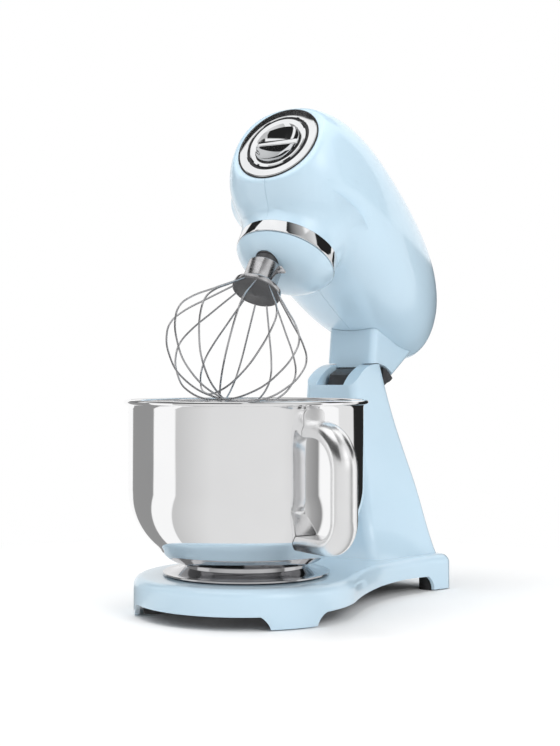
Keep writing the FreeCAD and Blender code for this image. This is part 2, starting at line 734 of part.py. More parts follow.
def head_form(inset, points, smooth):
    """The egg of the head as a loft over rounded-square sections, drawn in by inset."""
    power = 2 / size("squareness")
    low = size("rim_height") + size("drive_gap") + size("head_drop")
    sections = []
    for place, top, bottom, width in HEAD:
        y = place * size("head_length") - size("nose_front")
        front = inset if smooth else inset + 5
        y = min(max(y, front - size("nose_front")), size("head_length") - size("nose_front") - inset)
        middle = low + (top + bottom) / 2 * size("head_height")
        high = (top - bottom) / 2 * size("head_height") - inset
        wide = width * size("head_width") - inset
        if high < 1 or wide < 1 or (sections and y - sections[-1][0] < 0.2):
            continue
        ring = []
        for n in range(points):
            angle = 2 * math.pi * (n + 0.5) / points
            across, up = math.cos(angle), math.sin(angle)
            ring.append(Vector(
                wide * math.copysign(abs(across) ** power, across), y,
                middle + high * math.copysign(abs(up) ** power, up),
            ))
        sections.append((y, ring))
    wires = []
    for _, ring in sections:
        if smooth:
            curve = Part.BSplineCurve()
            curve.interpolate(ring, PeriodicFlag=True)
            wires.append(Part.Wire(curve.toShape()))
        else:
            wires.append(Part.makePolygon(ring + ring[:1]))
    return Part.makeLoft(wires, True, not smooth)


def make_head():
    """Both halves of the head's casting, split along the middle."""
    deck = size("rim_height") + size("drive_gap")
    hub = deck + size("hub_rise")
    face = -size("nose_front")
    up, out = Vector(0, 0, 1), Vector(0, 1, 0)
    start = deck + size("ring_height") + 0.15
    ring = size("ring_radius")

    form = head_form(0, 28, True)
    # the boss over the drive ring flares into the belly
    foot, top = Vector(ring - 0.2, 0, start), Vector(ring + 21, 0, start + 38)
    chord = (top - foot).Length
    side = Vector(-(top - foot).z, 0, (top - foot).x).normalize()
    middle = (foot + top) * 0.5 + side * (chord * 0.13)
    flare = Part.Wire([
        Part.Arc(foot, middle, top).toShape(),
        Part.makeLine(top, Vector(0, 0, top.z)),
        Part.makeLine(Vector(0, 0, top.z), Vector(0, 0, start)),
        Part.makeLine(Vector(0, 0, start), foot),
    ])
    form = form.fuse(Part.Face(flare).revolve(Vector(), up, 360))
    hollow = head_form(size("head_wall"), 16, False)
    hollow = hollow.fuse(Part.makeCylinder(ring - 3.2, top.z - start, Vector(0, 0, start - 1)))
    shell = form.cut(hollow)

    # recess of the chrome disc with the hub's bore, and the hole over the neck
    ahead = 20
    front = Vector(0, face - ahead, hub)
    badge = Part.makeCylinder(size("badge_radius") + 0.3, ahead + 4, front, out)
    bore = Part.makeCylinder(24.3, ahead + 19, front, out)
    neck = size("neck_width") - 6
    hole = Part.makeBox(2 * neck, 67, 30, Vector(-neck, size("hinge_back") - 53, deck + 14))
    slot = Part.makeBox(9, 44, 40, Vector(-4.5, size("lever_back") - 22, deck + 130))
    shell = shell.cut(Part.makeCompound([badge, bore, hole, slot]))
    if len(shell.Solids) != 1:
        shell = max(shell.Solids, key=lambda solid: solid.Volume)
    gap = size("seam_gap")
    for label, start_x in (("head_shell_left", gap), ("head_shell_right", -200 - gap)):
        half = shell.common(Part.makeBox(200, 500, 500, Vector(start_x, -100, 100)))
        piece = doc.addObject("Part::Feature", label + "_casting")
        piece.Shape = max(half.Solids, key=lambda solid: solid.Volume)
        named(piece, label, True)


def make_neck():
    """The collar between head and column, and the hinge pieces inside it."""
    collar = body("neck_collar_body")
    back, up = "Sizes.hinge_back", "Sizes.hinge_height"
    reach = "(Sizes.ear_radius + Sizes.neck_gap)"
    fore, aft = "39.5 deg", "3.2 deg"
    side = sketch(collar, "YZ", "collar_profile")
    outline(
        side,
        [
            (f"{back} - {reach} * sin({fore})", f"{up} + {reach} * cos({fore})"),
            (f"{back} + {reach} * sin({aft})", f"{up} + {reach} * cos({aft})"),
            (f"{back} + 33.9", f"{DECK} + 59.7"),
            (f"{back} - 79.9", f"{DECK} + 61.4"),
        ],
        {0: f"-{reach}"},
    )
    feature(collar, "Pad", "collar_block", side, Length="2 * Sizes.neck_width", Midplane=True)
    # between the ears the front wall reaches lower
    apron, deep = sketch(collar, "YZ", "apron_profile"), "(Sizes.ear_radius - 2.9)"
    outline(
        apron,
        [
            (f"{back} - {deep} * sin(40.3 deg)", f"{up} + {deep} * cos(40.3 deg)"),
            (f"{back} - {deep} * sin(36 deg)", f"{up} + {deep} * cos(36 deg)"),
            (f"{back} - 36", f"{up} + 70"),
            (f"{back} - 49", f"{up} + 63"),
        ],
    )
    feature(collar, "Pad", "apron", apron, Length="2 * (Sizes.slot_width - 0.4)", Midplane=True)

    def upright(edge):
        box = edge.BoundBox
        return box.XLength < 0.01 and box.ZLength > 30 and abs(box.XMax) > 20

    rounded(collar, "collar_corners", "7", upright)
    hollow = sketch(collar, "YZ", "collar_hollow_profile")
    outline(
        hollow,
        [
            (f"{back} - 38.4", f"{up} + 48"), (f"{back} - 2", f"{up} + 48"),
            (f"{back} - 2", f"{up} + 72"), (f"{back} + 24.5", f"{DECK} + 61.7"),
            (f"{back} - 75", f"{DECK} + 61.7"), (f"{back} - 38.4", f"{up} + 52.5"),
        ],
    )
    feature(collar, "Pocket", "collar_hollow", hollow, Length="2 * (Sizes.slot_width + 0.4)", Midplane=True)
    doc.recompute()
    # its top follows the belly of the head, a seam below it
    belly = doc.addObject("Part::Feature", "belly_clearance")
    belly.Shape = head_form(-0.35, 28, True)
    named(cut("neck_collar_fitted", collar, belly), "neck_collar", True)

    # fixed block between the ears, with a guide for the release button behind
    dark = body("hinge_block_body")
    radius, aft = "(Sizes.ear_radius - 3.8)", "12 deg"
    profile = sketch(dark, "YZ", "hinge_block_profile")
    floor = f"({up} - 22 + Sizes.fit)"
    outline(
        profile,
        [
            (f"{back} - {radius} * sin(28 deg)", f"{up} + {radius} * cos(28 deg)"),
            ("Sizes.column_front + 16", "Sizes.slot_floor + Sizes.fit"),
            ("Sizes.column_front + 30.5", floor),
            (f"{back} + 10", floor),
            (f"{back} + {radius} * sin({aft})", f"{up} - 6"),
            (f"{back} + {radius} * sin({aft})", f"{up} + {radius} * cos({aft})"),
        ],
        {5: radius},
    )
    feature(dark, "Pad", "hinge_block_pad", profile, Length="2 * (Sizes.slot_width - 5.3)", Midplane=True)
    bore = sketch(dark, "YZ", "hinge_block_bore_profile")
    circle(bore, back, up, "Sizes.pin_radius + Sizes.running")
    through(dark, "hinge_block_bore", bore)
    guide = sketch(dark, "YZ", "guide_profile")
    stem_low, stem_high = f"({up} + 42)", f"({up} + 52)"
    outline(
        guide,
        [
            (f"{back} + 2", f"{stem_low} - 0.1"), (f"{back} + 30", f"{stem_low} - 0.1"),
            (f"{back} + 30", f"{stem_high} + 0.1"), (f"{back} + 2", f"{stem_high} + 0.1"),
        ],
    )
    feature(dark, "Pocket", "guide", guide, Length="2 * 6.1", Midplane=True)
    named(dark, "hinge_block")

    # release button: a rounded cap behind the ears on a stem that slides in the guide
    button = body("release_button_body")
    cap = sketch(button, "YZ", "button_profile")
    round_top, start = "(Sizes.ear_radius - 0.7)", "(Sizes.column_back + 6.2)"
    rise = f"sqrt({round_top}^2 - ({start} - {back})^2)"
    outline(
        cap,
        [
            (start, f"{up} + {rise}"),
            (start, f"{up} + 45.5"),
            (f"{back} + 28", f"{up} + 49.5"),
            (f"{back} + 41", f"{up} + 54.5"),
        ],
        {2: "26", 3: round_top},
    )
    feature(button, "Pad", "button_cap", cap, Length="2 * (Sizes.neck_width - 1.5)", Midplane=True)
    stem = sketch(button, "YZ", "stem_profile")
    outline(
        stem,
        [
            (f"{back} + 6", stem_low), (f"{start} + 3", stem_low),
            (f"{start} + 3", stem_high), (f"{back} + 6", stem_high),
        ],
    )
    feature(button, "Pad", "button_stem", stem, Length="2 * 6", Midplane=True)
    named(button, "release_button")

    # cheeks that carry the head
    cheeks = body("hinge_bracket_body")
    inner, outer = "(Sizes.slot_width - 4.8)", "(Sizes.slot_width - 0.3)"
    profile = sketch(cheeks, "YZ", "cheek_profile")
    arm = [
        (f"{back} - 11.6", f"{up} - 6"), (f"{back} + 11.6", f"{up} - 6"),
        (f"{back} + 12.5", f"{up} + 10"), (f"{back} - 12", f"{up} + 45"),
        (f"{back} - 24.5", f"{up} + 66"), (f"{back} - 24.5", f"{up} + 73"),
        (f"{back} + 10", f"{DECK} + 31.2"), (f"{back} - 50", f"{DECK} + 31.2"),
        (f"{back} - 37.5", f"{up} + 53.5"), (f"{back} - 13", f"{up} + 4"),
    ]
    outline(profile, arm, {0: "13"})
    feature(cheeks, "Pad", "cheek_block", profile, Length=f"2 * {outer}", Midplane=True)
    gap = sketch(cheeks, "YZ", "cheek_gap_profile")
    outline(
        gap,
        [
            (f"{back} - 70", f"{up} - 40"), (f"{back} + 70", f"{up} - 40"),
            (f"{back} + 70", f"{DECK} + 23.7"), (f"{back} - 70", f"{DECK} + 23.7"),
        ],
    )
    feature(cheeks, "Pocket", "cheek_gap", gap, Length=f"2 * {inner}", Midplane=True)
    bore = sketch(cheeks, "YZ", "cheek_bore_profile")
    circle(bore, back, up, "Sizes.pin_radius + 2.6")
    through(cheeks, "cheek_bore", bore)
    named(cheeks, "hinge_bracket", True)

    bushes = []
    for side in ("", "-"):
        tag = "r" if side else "l"
        start = inner if side == "" else f"-{outer}"
        far = "-Sizes.slot_width" if side else "0"
        sleeve = cylinder("bush_sleeve_" + tag, "Sizes.pin_radius + 2.5", f"{outer} - {inner}",
                          start, back, up, "X")
        hole = cylinder("bush_hole_" + tag, "Sizes.pin_radius + Sizes.running", "Sizes.slot_width",
                        far, back, up, "X")
        bushes.append(cut("hinge_bush_" + tag, sleeve, hole))
    named(group("hinge_bushes_group", bushes), "hinge_bushes", True)


make_head()
make_neck()


# --------------------------------------------------------------------------- drive


def toothed(teeth, root, tip, share_root, share_tip, turn=0.0):
    """Corners of a gear's outline with straight-sided teeth; shares are of the tooth pitch."""
    pitch = 2 * math.pi / teeth
    corners = []
    for n in range(teeth):
        for radius, share in ((root, -share_root), (tip, -share_tip), (tip, share_tip), (root, share_root)):
            angle = turn + pitch * (n + share / 2)
            corners.append(Vector(radius * math.cos(angle), radius * math.sin(angle), 0))
    return corners


def gear_block(corners, low, high):
    """A straight gear between two heights."""
    ring = [Vector(p.x, p.y, low) for p in corners]
    return Part.Face(Part.makePolygon(ring + ring[:1])).extrude(Vector(0, 0, high - low))


def bevel_block(teeth, cone, far, near, turn):
    """A bevel gear about +Z whose teeth run to an apex at the origin, below it between two depths."""
    module = size("bevel_module")
    reach = module * math.hypot(size("crown_teeth"), size("pinion_teeth")) / 2
    tip = far * math.tan(cone + 0.78 * module / reach)
    root = far * math.tan(cone - 1.15 * module / reach)
    corners = toothed(teeth, root, tip, 0.60, 0.27, turn)
    wires = []
    for depth in (far, near):
        ring = [Vector(p.x * depth / far, p.y * depth / far, -depth) for p in corners]
        wires.append(Part.makePolygon(ring + ring[:1]))
    return Part.makeLoft(wires, True, True)


def plain(name, shape, label, on_head=True):
    piece = doc.addObject("Part::Feature", name)
    piece.Shape = shape
    return named(piece, label, on_head)


def make_drive():
    deck = size("rim_height") + size("drive_gap")
    hub = deck + size("hub_rise")
    module, run = size("gear_module"), size("running")
    up, out = Vector(0, 0, 1), Vector(0, 1, 0)
    orbit = module * (size("ring_teeth") - size("planet_teeth")) / 2
    lean = math.radians(size("orbit_angle"))
    tool = Vector(-orbit * math.sin(lean), -orbit * math.cos(lean), 0)
    low = deck + 15.4
    high = low + size("gear_height")

    # chrome ring and the dark seal inside its lower edge
    ring, inner = "Sizes.ring_radius", "(Sizes.ring_radius - 3.2)"
    edge = [
        (inner, DECK), (f"{ring} - 0.8", DECK), (ring, f"{DECK} + 0.8"),
        (ring, f"{DECK} + Sizes.ring_height"), (inner, f"{DECK} + Sizes.ring_height"),
    ]
    named(lathe("drive_ring", edge), "drive_ring", True)

    # turning disc, domed below, with a bore for the tool shaft
    disc = body("planetary_disc_body")
    rim, drop = "(Sizes.ring_radius - 1)", "Sizes.dome_depth"
    cup = [
        ("0", f"{DECK} - {drop}"), (f"{rim} * 0.62", f"{DECK} - {drop} * 0.79"), (rim, f"{DECK} - 0.9"),
        (f"{rim} - 3", f"{DECK} - 0.4"), (f"{rim} - 3", f"{DECK} + 11"), (f"{rim} - 8", f"{DECK} + 11"),
        (f"{rim} - 8", f"{DECK} - 4"), (f"{rim} * 0.6", f"{DECK} - {drop} * 0.79 + 6"),
        ("18", f"{DECK} - {drop} + 9.5"), ("18", f"{DECK} + 12"), ("0", f"{DECK} + 12"),
    ]
    turned(disc, "disc_cup", cup, {0: "74", 1: "40"})
    seat = sketch(disc, "XY", "tool_seat_plan", f"{DECK} + 12")
    circle(seat, TOOL_X, TOOL_Y, "12.5")
    feature(disc, "Pad", "tool_seat", seat, Length=f"12 + {drop} * 0.75", Reversed=True)
    flat = sketch(disc, "XY", "tool_flat_plan", f"{DECK} - {drop} - 5")
    away = "(Sizes.orbit_angle * 1 deg)"
    outline(
        flat,
        [
            (f"{TOOL_X} - 14 * cos({away})", f"{TOOL_Y} + 14 * sin({away})"),
            (f"{TOOL_X} + 14 * cos({away})", f"{TOOL_Y} - 14 * sin({away})"),
            ("8", "12"),
            ("0", "16"),
            ("-8", "12"),
        ],
        {0: "14.01"},
    )
    feature(disc, "Pocket", "tool_flat", flat, Length=f"5 + {drop} * 0.36", Reversed=True)
    bore = sketch(disc, "XY", "disc_bores_plan", DECK)
    circle(bore, TOOL_X, TOOL_Y, "Sizes.tool_shaft_radius + Sizes.running")
    through(disc, "disc_bores", bore)
    socket = sketch(disc, "XY", "disc_socket_plan", f"{DECK} + 12")
    circle(socket, "0", "0", "Sizes.centre_shaft_radius + 0.02")
    feature(disc, "Pocket", "disc_socket", socket, Length="18")
    named(disc, "planetary_disc", True)

    # fixed ring gear, planet gear and the tool shaft that it turns
    teeth = int(size("ring_teeth"))
    pitch = module * teeth / 2
    hole = toothed(teeth, pitch + 1.15 * module, pitch - 0.85 * module, 0.60, 0.28)
    body_ring = Part.makeCylinder(size("ring_radius") - 3.7, high - low, Vector(0, 0, low))
    plain("ring_gear_cut", body_ring.cut(gear_block(hole, low - 1, high + 1)), "ring_gear")
    few = int(size("planet_teeth"))
    pitch = module * few / 2
    facing = math.atan2(tool.y, tool.x)
    step = 2 * math.pi / teeth
    phase = (facing % step) / step
    turn = facing + (0.5 - phase) * 2 * math.pi / few
    corners = toothed(few, pitch - 1.15 * module, pitch + 0.80 * module, 0.60, 0.28, turn)
    wheel = gear_block(corners, low + 0.4, high)
    wheel.translate(tool)
    shaft = size("tool_shaft_radius")
    wheel = wheel.cut(Part.makeCylinder(shaft - 1.2 + run, 40, Vector(tool.x, tool.y, low - 10), up))
    plain("planet_gear_cut", wheel, "planet_gear")
    spot = (TOOL_X, TOOL_Y, "0")
    steps = [
        ("0", "Sizes.whisk_hub_top - 17"), ("Sizes.tool_shaft_radius", "Sizes.whisk_hub_top - 17"),
        ("Sizes.tool_shaft_radius", f"{DECK} + 15.4"), ("Sizes.tool_shaft_radius - 1.2", f"{DECK} + 15.4"),
        ("Sizes.tool_shaft_radius - 1.2", f"{DECK} + 16 + Sizes.gear_height"),
        ("0", f"{DECK} + 16 + Sizes.gear_height"),
    ]
    rod = lathe("tool_shaft", steps, at=spot)
    hole = sketch(rod, "YZ", "shaft_pin_bore_profile")
    circle(hole, TOOL_Y, "Sizes.whisk_hub_top - 4.6", "2.66")
    through(rod, "shaft_pin_bore", hole)
    named(rod, "tool_shaft", True)
    washer = tube("Sizes.whisk_hub_top + 0.6", f"{DECK} - Sizes.dome_depth * 0.64 - 0.1",
                  "Sizes.tool_shaft_radius + Sizes.running", "11.7")
    washer[1] = ("10.9", washer[1][1])
    washer.insert(2, ("11.7", "Sizes.whisk_hub_top + 1.6"))
    named(lathe("shaft_collar", washer, at=spot), "shaft_collar", True)

    # centre shaft with the crown gear, case around it
    stem = [
        ("0", f"{DECK} - 5.6"), ("Sizes.centre_shaft_radius", f"{DECK} - 5.6"),
        ("Sizes.centre_shaft_radius", f"{HUB} - 17"), ("0", f"{HUB} - 17"),
    ]
    named(lathe("centre_shaft", stem), "centre_shaft", True)
    crown_teeth, few = int(size("crown_teeth")), int(size("pinion_teeth"))
    cone = math.atan2(crown_teeth, few)
    radius = size("bevel_module") * crown_teeth / 2
    crown = bevel_block(crown_teeth, cone, radius * 0.47, radius * 0.17, math.pi / 2)
    crown.translate(Vector(0, 0, hub))
    base = hub - radius * 0.47
    crown = crown.common(Part.makeCylinder(radius + 1.4, 40, Vector(0, 0, base - 1)))
    crown = crown.cut(Part.makeCylinder(radius * 0.66, 40, Vector(0, 0, hub - radius * 0.40)))
    crown = crown.fuse(Part.makeCylinder(radius + 1.4, 3, Vector(0, 0, base - 3)))
    crown = crown.cut(Part.makeCylinder(size("centre_shaft_radius") + run, 60, Vector(0, 0, base - 20)))
    plain("crown_gear_cut", crown.removeSplitter(), "crown_gear")

    for label, side in (("rotor_pinion", 1), ("hub_pinion", -1)):
        few_cone = math.atan2(few, crown_teeth)
        gear = bevel_block(few, few_cone, radius * 1.02, radius * 0.72, math.pi / few)
        turn = Rotation(Vector(1, 0, 0), 90 * side)
        gear.Placement = Placement(Vector(0, 0, hub), turn)
        bore = Part.makeCylinder(size("shaft_radius") + run, 60, Vector(0, -30 + 30 * side, hub), out)
        plain(label + "_cut", gear.cut(bore), label)


make_drive()


def make_case():
    """The gear case with its cover, the bearings and the shaft to the attachment hub."""
    floor = f"({DECK} + 17 + Sizes.gear_height)"
    wall = "(Sizes.bevel_module * Sizes.crown_teeth / 2 + 8.2)"
    case = lathe("gear_case", [
        ("12.5", floor), ("Sizes.ring_radius - 3.9", floor), ("Sizes.ring_radius - 3.9", f"{floor} + 4"),
        (f"{wall} + 4", f"{floor} + 4"), (f"{wall} + 4", f"{HUB} + 16"), (wall, f"{HUB} + 16"),
        (wall, f"{floor} + 4"), ("12.5", f"{floor} + 4"),
    ])
    seat = sketch(case, "XZ", "bearing_seat_profile")
    circle(seat, "0", HUB, "11.05")
    through(case, "bearing_seats", seat)
    named(case, "gear_case", True)
    cover = tube(f"{HUB} + 16.1", f"{HUB} + 19", "0", f"{wall} + 4")
    named(lathe("case_cover", cover), "case_cover", True)
    screws = []
    for n in range(4):
        x, y = f"({wall} - 1) * {(1, 1, -1, -1)[n]} * 0.7", f"({wall} - 1) * {(1, -1, 1, -1)[n]} * 0.7"
        screws.append(cylinder(f"case_screw_{n}", "3.4", "2.2", x, y, f"{HUB} + 19.1"))
    named(group("case_screws_group", screws), "case_screws", True)

    ring = tube(f"{floor} + 0.2", f"{floor} + 3.8", "Sizes.centre_shaft_radius + Sizes.running", "12.4")
    rings = [lathe("centre_bearing", ring)]
    front, far = "Sizes.motor_front", "(Sizes.motor_front + Sizes.motor_length)"
    places = [
        ("pinion_bearing", f"{wall} - 0.4", f"{wall} + 4.4", "11"),
        ("hub_bearing", f"-({wall} + 4.4)", f"-({wall} - 0.4)", "11"),
        ("front_bearing", f"{front} - 1.5", f"{front} + 4", "9"),
        ("rear_bearing", f"{far} - 4", f"{far} + 1.5", "9"),
    ]
    for name, low, high, outer in places:
        ring = tube(low, high, "Sizes.shaft_radius + Sizes.running", outer)
        rings.append(lathe(name, ring, at=("0", "0", HUB), along="Y"))
    named(group("bearings_group", rings), "ball_bearings", True)


def make_motor():
    """The motor along the head, its shaft running to the bevel pinion."""
    outer, shaft = "Sizes.motor_radius", "Sizes.shaft_radius"
    front, far = "Sizes.motor_front", "(Sizes.motor_front + Sizes.motor_length)"
    axis = {"at": ("0", "0", HUB), "along": "Y"}
    case = tube(f"{front} + 4.1", f"{far} - 4.1", f"{outer} - 3", outer)
    named(lathe("motor_case", case, **axis), "motor_case", True)
    plate = tube(front, f"{front} + 4", "9.05", outer)
    named(lathe("motor_bracket", plate, **axis), "motor_bracket", True)
    plate = tube(f"{far} - 4", far, "9.05", outer)
    named(lathe("motor_end_cap", plate, **axis), "motor_end_cap", True)
    low, high = f"({front} + 24)", f"({far} - 26)"
    stator = lathe("stator_core", tube(low, high, "27", f"{outer} - 3.3"), **axis)
    named(stator, "stator_core", True)
    winding = [
        (f"{shaft} + 0.06", low), ("26", low), ("26", high), ("22", f"{high} + 4"), ("11", f"{high} + 5"),
        ("11", f"{high} + 15"), (f"{shaft} + 0.06", f"{high} + 15"),
    ]
    named(lathe("rotor_core", winding, **axis), "rotor_core", True)
    radius = "(Sizes.bevel_module * Sizes.crown_teeth / 2)"
    rod = tube(f"{radius} * 0.66", f"{far} + 8", "0", shaft)
    named(lathe("rotor_shaft", rod, **axis), "rotor_shaft", True)
    fan = lathe("cooling_fan", tube(f"{front} + 7", f"{front} + 9", f"{shaft} + 0.06", "34"), **axis)
    blade = sketch(fan, "XZ", "blade_profile")
    blade.setExpression("AttachmentOffset.Base.y", HUB)
    blade.setExpression("AttachmentOffset.Base.z", f"-({front} + 17)")
    outline(blade, [("12", "-1"), ("34", "6"), ("34", "8"), ("12", "1")])
    vane = feature(fan, "Pad", "fan_blade", blade, Length="8.2")
    turn = fan.newObject("PartDesign::PolarPattern", "fan_blades")
    turn.Originals = [vane]
    turn.Axis = (blade, ["N_Axis"])
    turn.Angle = 360
    turn.Occurrences = 9
    fan.Tip = turn
    named(fan, "cooling_fan", True)
    brushes = []
    for n, (x, side) in enumerate((("11.3", "r"), ("-21.3", "l"))):
        brush = block("brush_" + side, "10", "6", "8", x, f"{high} + 7", f"{HUB} - 4")
        brushes.append(brush)
    named(group("brushes_group", brushes), "motor_brushes", True)
    board = [block("control_board_plate", "52", "2", "42", "-26", f"{far} + 18", f"{HUB} - 21")]
    for n in range(4):
        x, z = (22, -22)[n % 2], (17, -17)[n // 2]
        board.append(cylinder(f"board_post_{n}", "2.5", "18", str(x), f"{far} + 0.1", f"{HUB} + {z}", "Y"))
    named(fused("control_board_fused", *board), "control_board", True)


def make_hub():
    """Attachment hub on the nose: chrome disc, seal, sleeve, driven shaft and the cap that pulls out."""
    face = "(-Sizes.nose_front)"
    axis = {"at": ("0", "0", HUB), "along": "Y"}
    disc, cap = "Sizes.badge_radius", "Sizes.cap_radius"
    bezel = [
        (f"{cap} + 2.2", f"{face} + 3.7"), (f"{cap} + 2.2", f"{face} - 1.2"),
        (f"{cap} + 2.8", f"{face} - 1.8"),
        (f"{disc} - 2.5", f"{face} - 1.4"), (disc, f"{face} - 0.2"), (disc, f"{face} + 3.7"),
    ]
    named(lathe("hub_bezel", bezel, {3: "-6"}, **axis), "hub_bezel", True)
    seal = tube(f"{face} - 0.6", f"{face} + 3.7", f"{cap} + 0.3", f"{cap} + 2.1")
    named(lathe("hub_seal", seal, **axis), "hub_seal", True)
    sleeve = tube(f"{face} + 4.4", f"{face} + 22", "18", "24")
    named(lathe("hub_sleeve", sleeve, **axis), "hub_sleeve", True)

    lid = lathe("hub_cap", [
        ("0", f"{face} + 3"), ("23.5", f"{face} - 2"), ("24.5", f"{face} - 2.4"),
        (f"{cap} - 0.8", f"{face} - 2.4"),
        (cap, f"{face} - 1.6"), (cap, f"{face} + 3.6"), ("17.94", f"{face} + 3.6"), ("17.94", f"{face} + 15"),
        ("15", f"{face} + 15"), ("15", f"{face} + 5.2"), ("0", f"{face} + 5.2"),
    ], {0: "58"}, **axis)
    bar = sketch(lid, "XZ", "cap_bar_profile")
    bar.setExpression("AttachmentOffset.Base.y", HUB)
    bar.setExpression("AttachmentOffset.Base.z", f"-({face} + 4)")
    outline(bar, [("-24", "-2.8"), ("24", "-2.8"), ("24", "2.8"), ("-24", "2.8")])
    feature(lid, "Pad", "cap_bar", bar, Length="6.2")
    named(lid, "hub_cap", True)
    radius = "(Sizes.bevel_module * Sizes.crown_teeth / 2)"
    shaft = "Sizes.shaft_radius"
    rod = [
        ("0", f"-{radius} * 0.66"), (shaft, f"-{radius} * 0.66"), (shaft, f"-{radius} - 14.2"),
        ("9", f"-{radius} - 14.2"), ("9", f"{face} + 17"), ("4.8", f"{face} + 17"), ("4.8", f"{face} + 27"),
        ("0", f"{face} + 27"),
    ]
    named(lathe("hub_shaft", rod, **axis), "hub_shaft", True)


LEVER_TOP = f"({HUB} + 52.1)"


def make_speed_control():
    """Speed lever on the head's top, leaning forwards when the mixer is off, with its frame and switch."""
    pivot = "Sizes.lever_back"
    lean = "(Sizes.lever_lean * 1 deg)"

    def spot(along, across):
        return (
            f"{pivot} - ({along}) * sin({lean}) + ({across}) * cos({lean})",
            f"{LEVER_TOP} + ({along}) * cos({lean}) + ({across}) * sin({lean})",
        )

    lever = body("speed_lever_body")
    arm = sketch(lever, "YZ", "arm_profile")
    outline(arm, [spot("0", "-1.8"), spot("0", "1.8"), spot("21", "1.4"), spot("21", "-1.4")])
    feature(lever, "Pad", "lever_arm", arm, Length="5", Midplane=True)
    knob = sketch(lever, "YZ", "knob_profile")
    circle(knob, *spot("22.5", "0"), "5.2")
    feature(lever, "Pad", "lever_knob", knob, Length="22", Midplane=True)
    boss = sketch(lever, "YZ", "boss_profile")
    circle(boss, *spot("0", "0"), "4")
    feature(lever, "Pad", "lever_boss", boss, Length="6", Midplane=True)
    hole = sketch(lever, "YZ", "lever_bore_profile")
    circle(hole, *spot("0", "0"), "2 + Sizes.running")
    through(lever, "lever_bore", hole)
    named(lever, "speed_lever", True)
    pin = cylinder("lever_pin_rod", "2", "24", "-12", pivot, LEVER_TOP, "X")
    named(group("lever_pin_group", [pin]), "lever_pin", True)
    switch = block("switch_block", "26", "28", "11.4", "-13", f"{pivot} - 14", f"{LEVER_TOP} - 7.4")
    gap = block("switch_gap", "7", "30", "20", "-3.5", f"{pivot} - 15", f"{LEVER_TOP} - 5.4")
    bore = cylinder("switch_bore", "2 + Sizes.running", "24.4", "-12.2", pivot, LEVER_TOP, "X")
    named(cut("switch_cut", switch, gap, bore), "speed_switch", True)

    back, top = size("lever_back"), size("rim_height") + size("drive_gap") + size("head_height") - 5
    frame = head_form(-1.8, 28, True).cut(head_form(-0.1, 28, True))
    outer = Part.makeBox(20, 48, 40, Vector(-10, back - 24, top))
    inner = Part.makeBox(7.4, 34, 60, Vector(-3.7, back - 17, top - 10))
    plain("speed_bezel_cut", frame.common(outer).cut(inner), "speed_bezel")


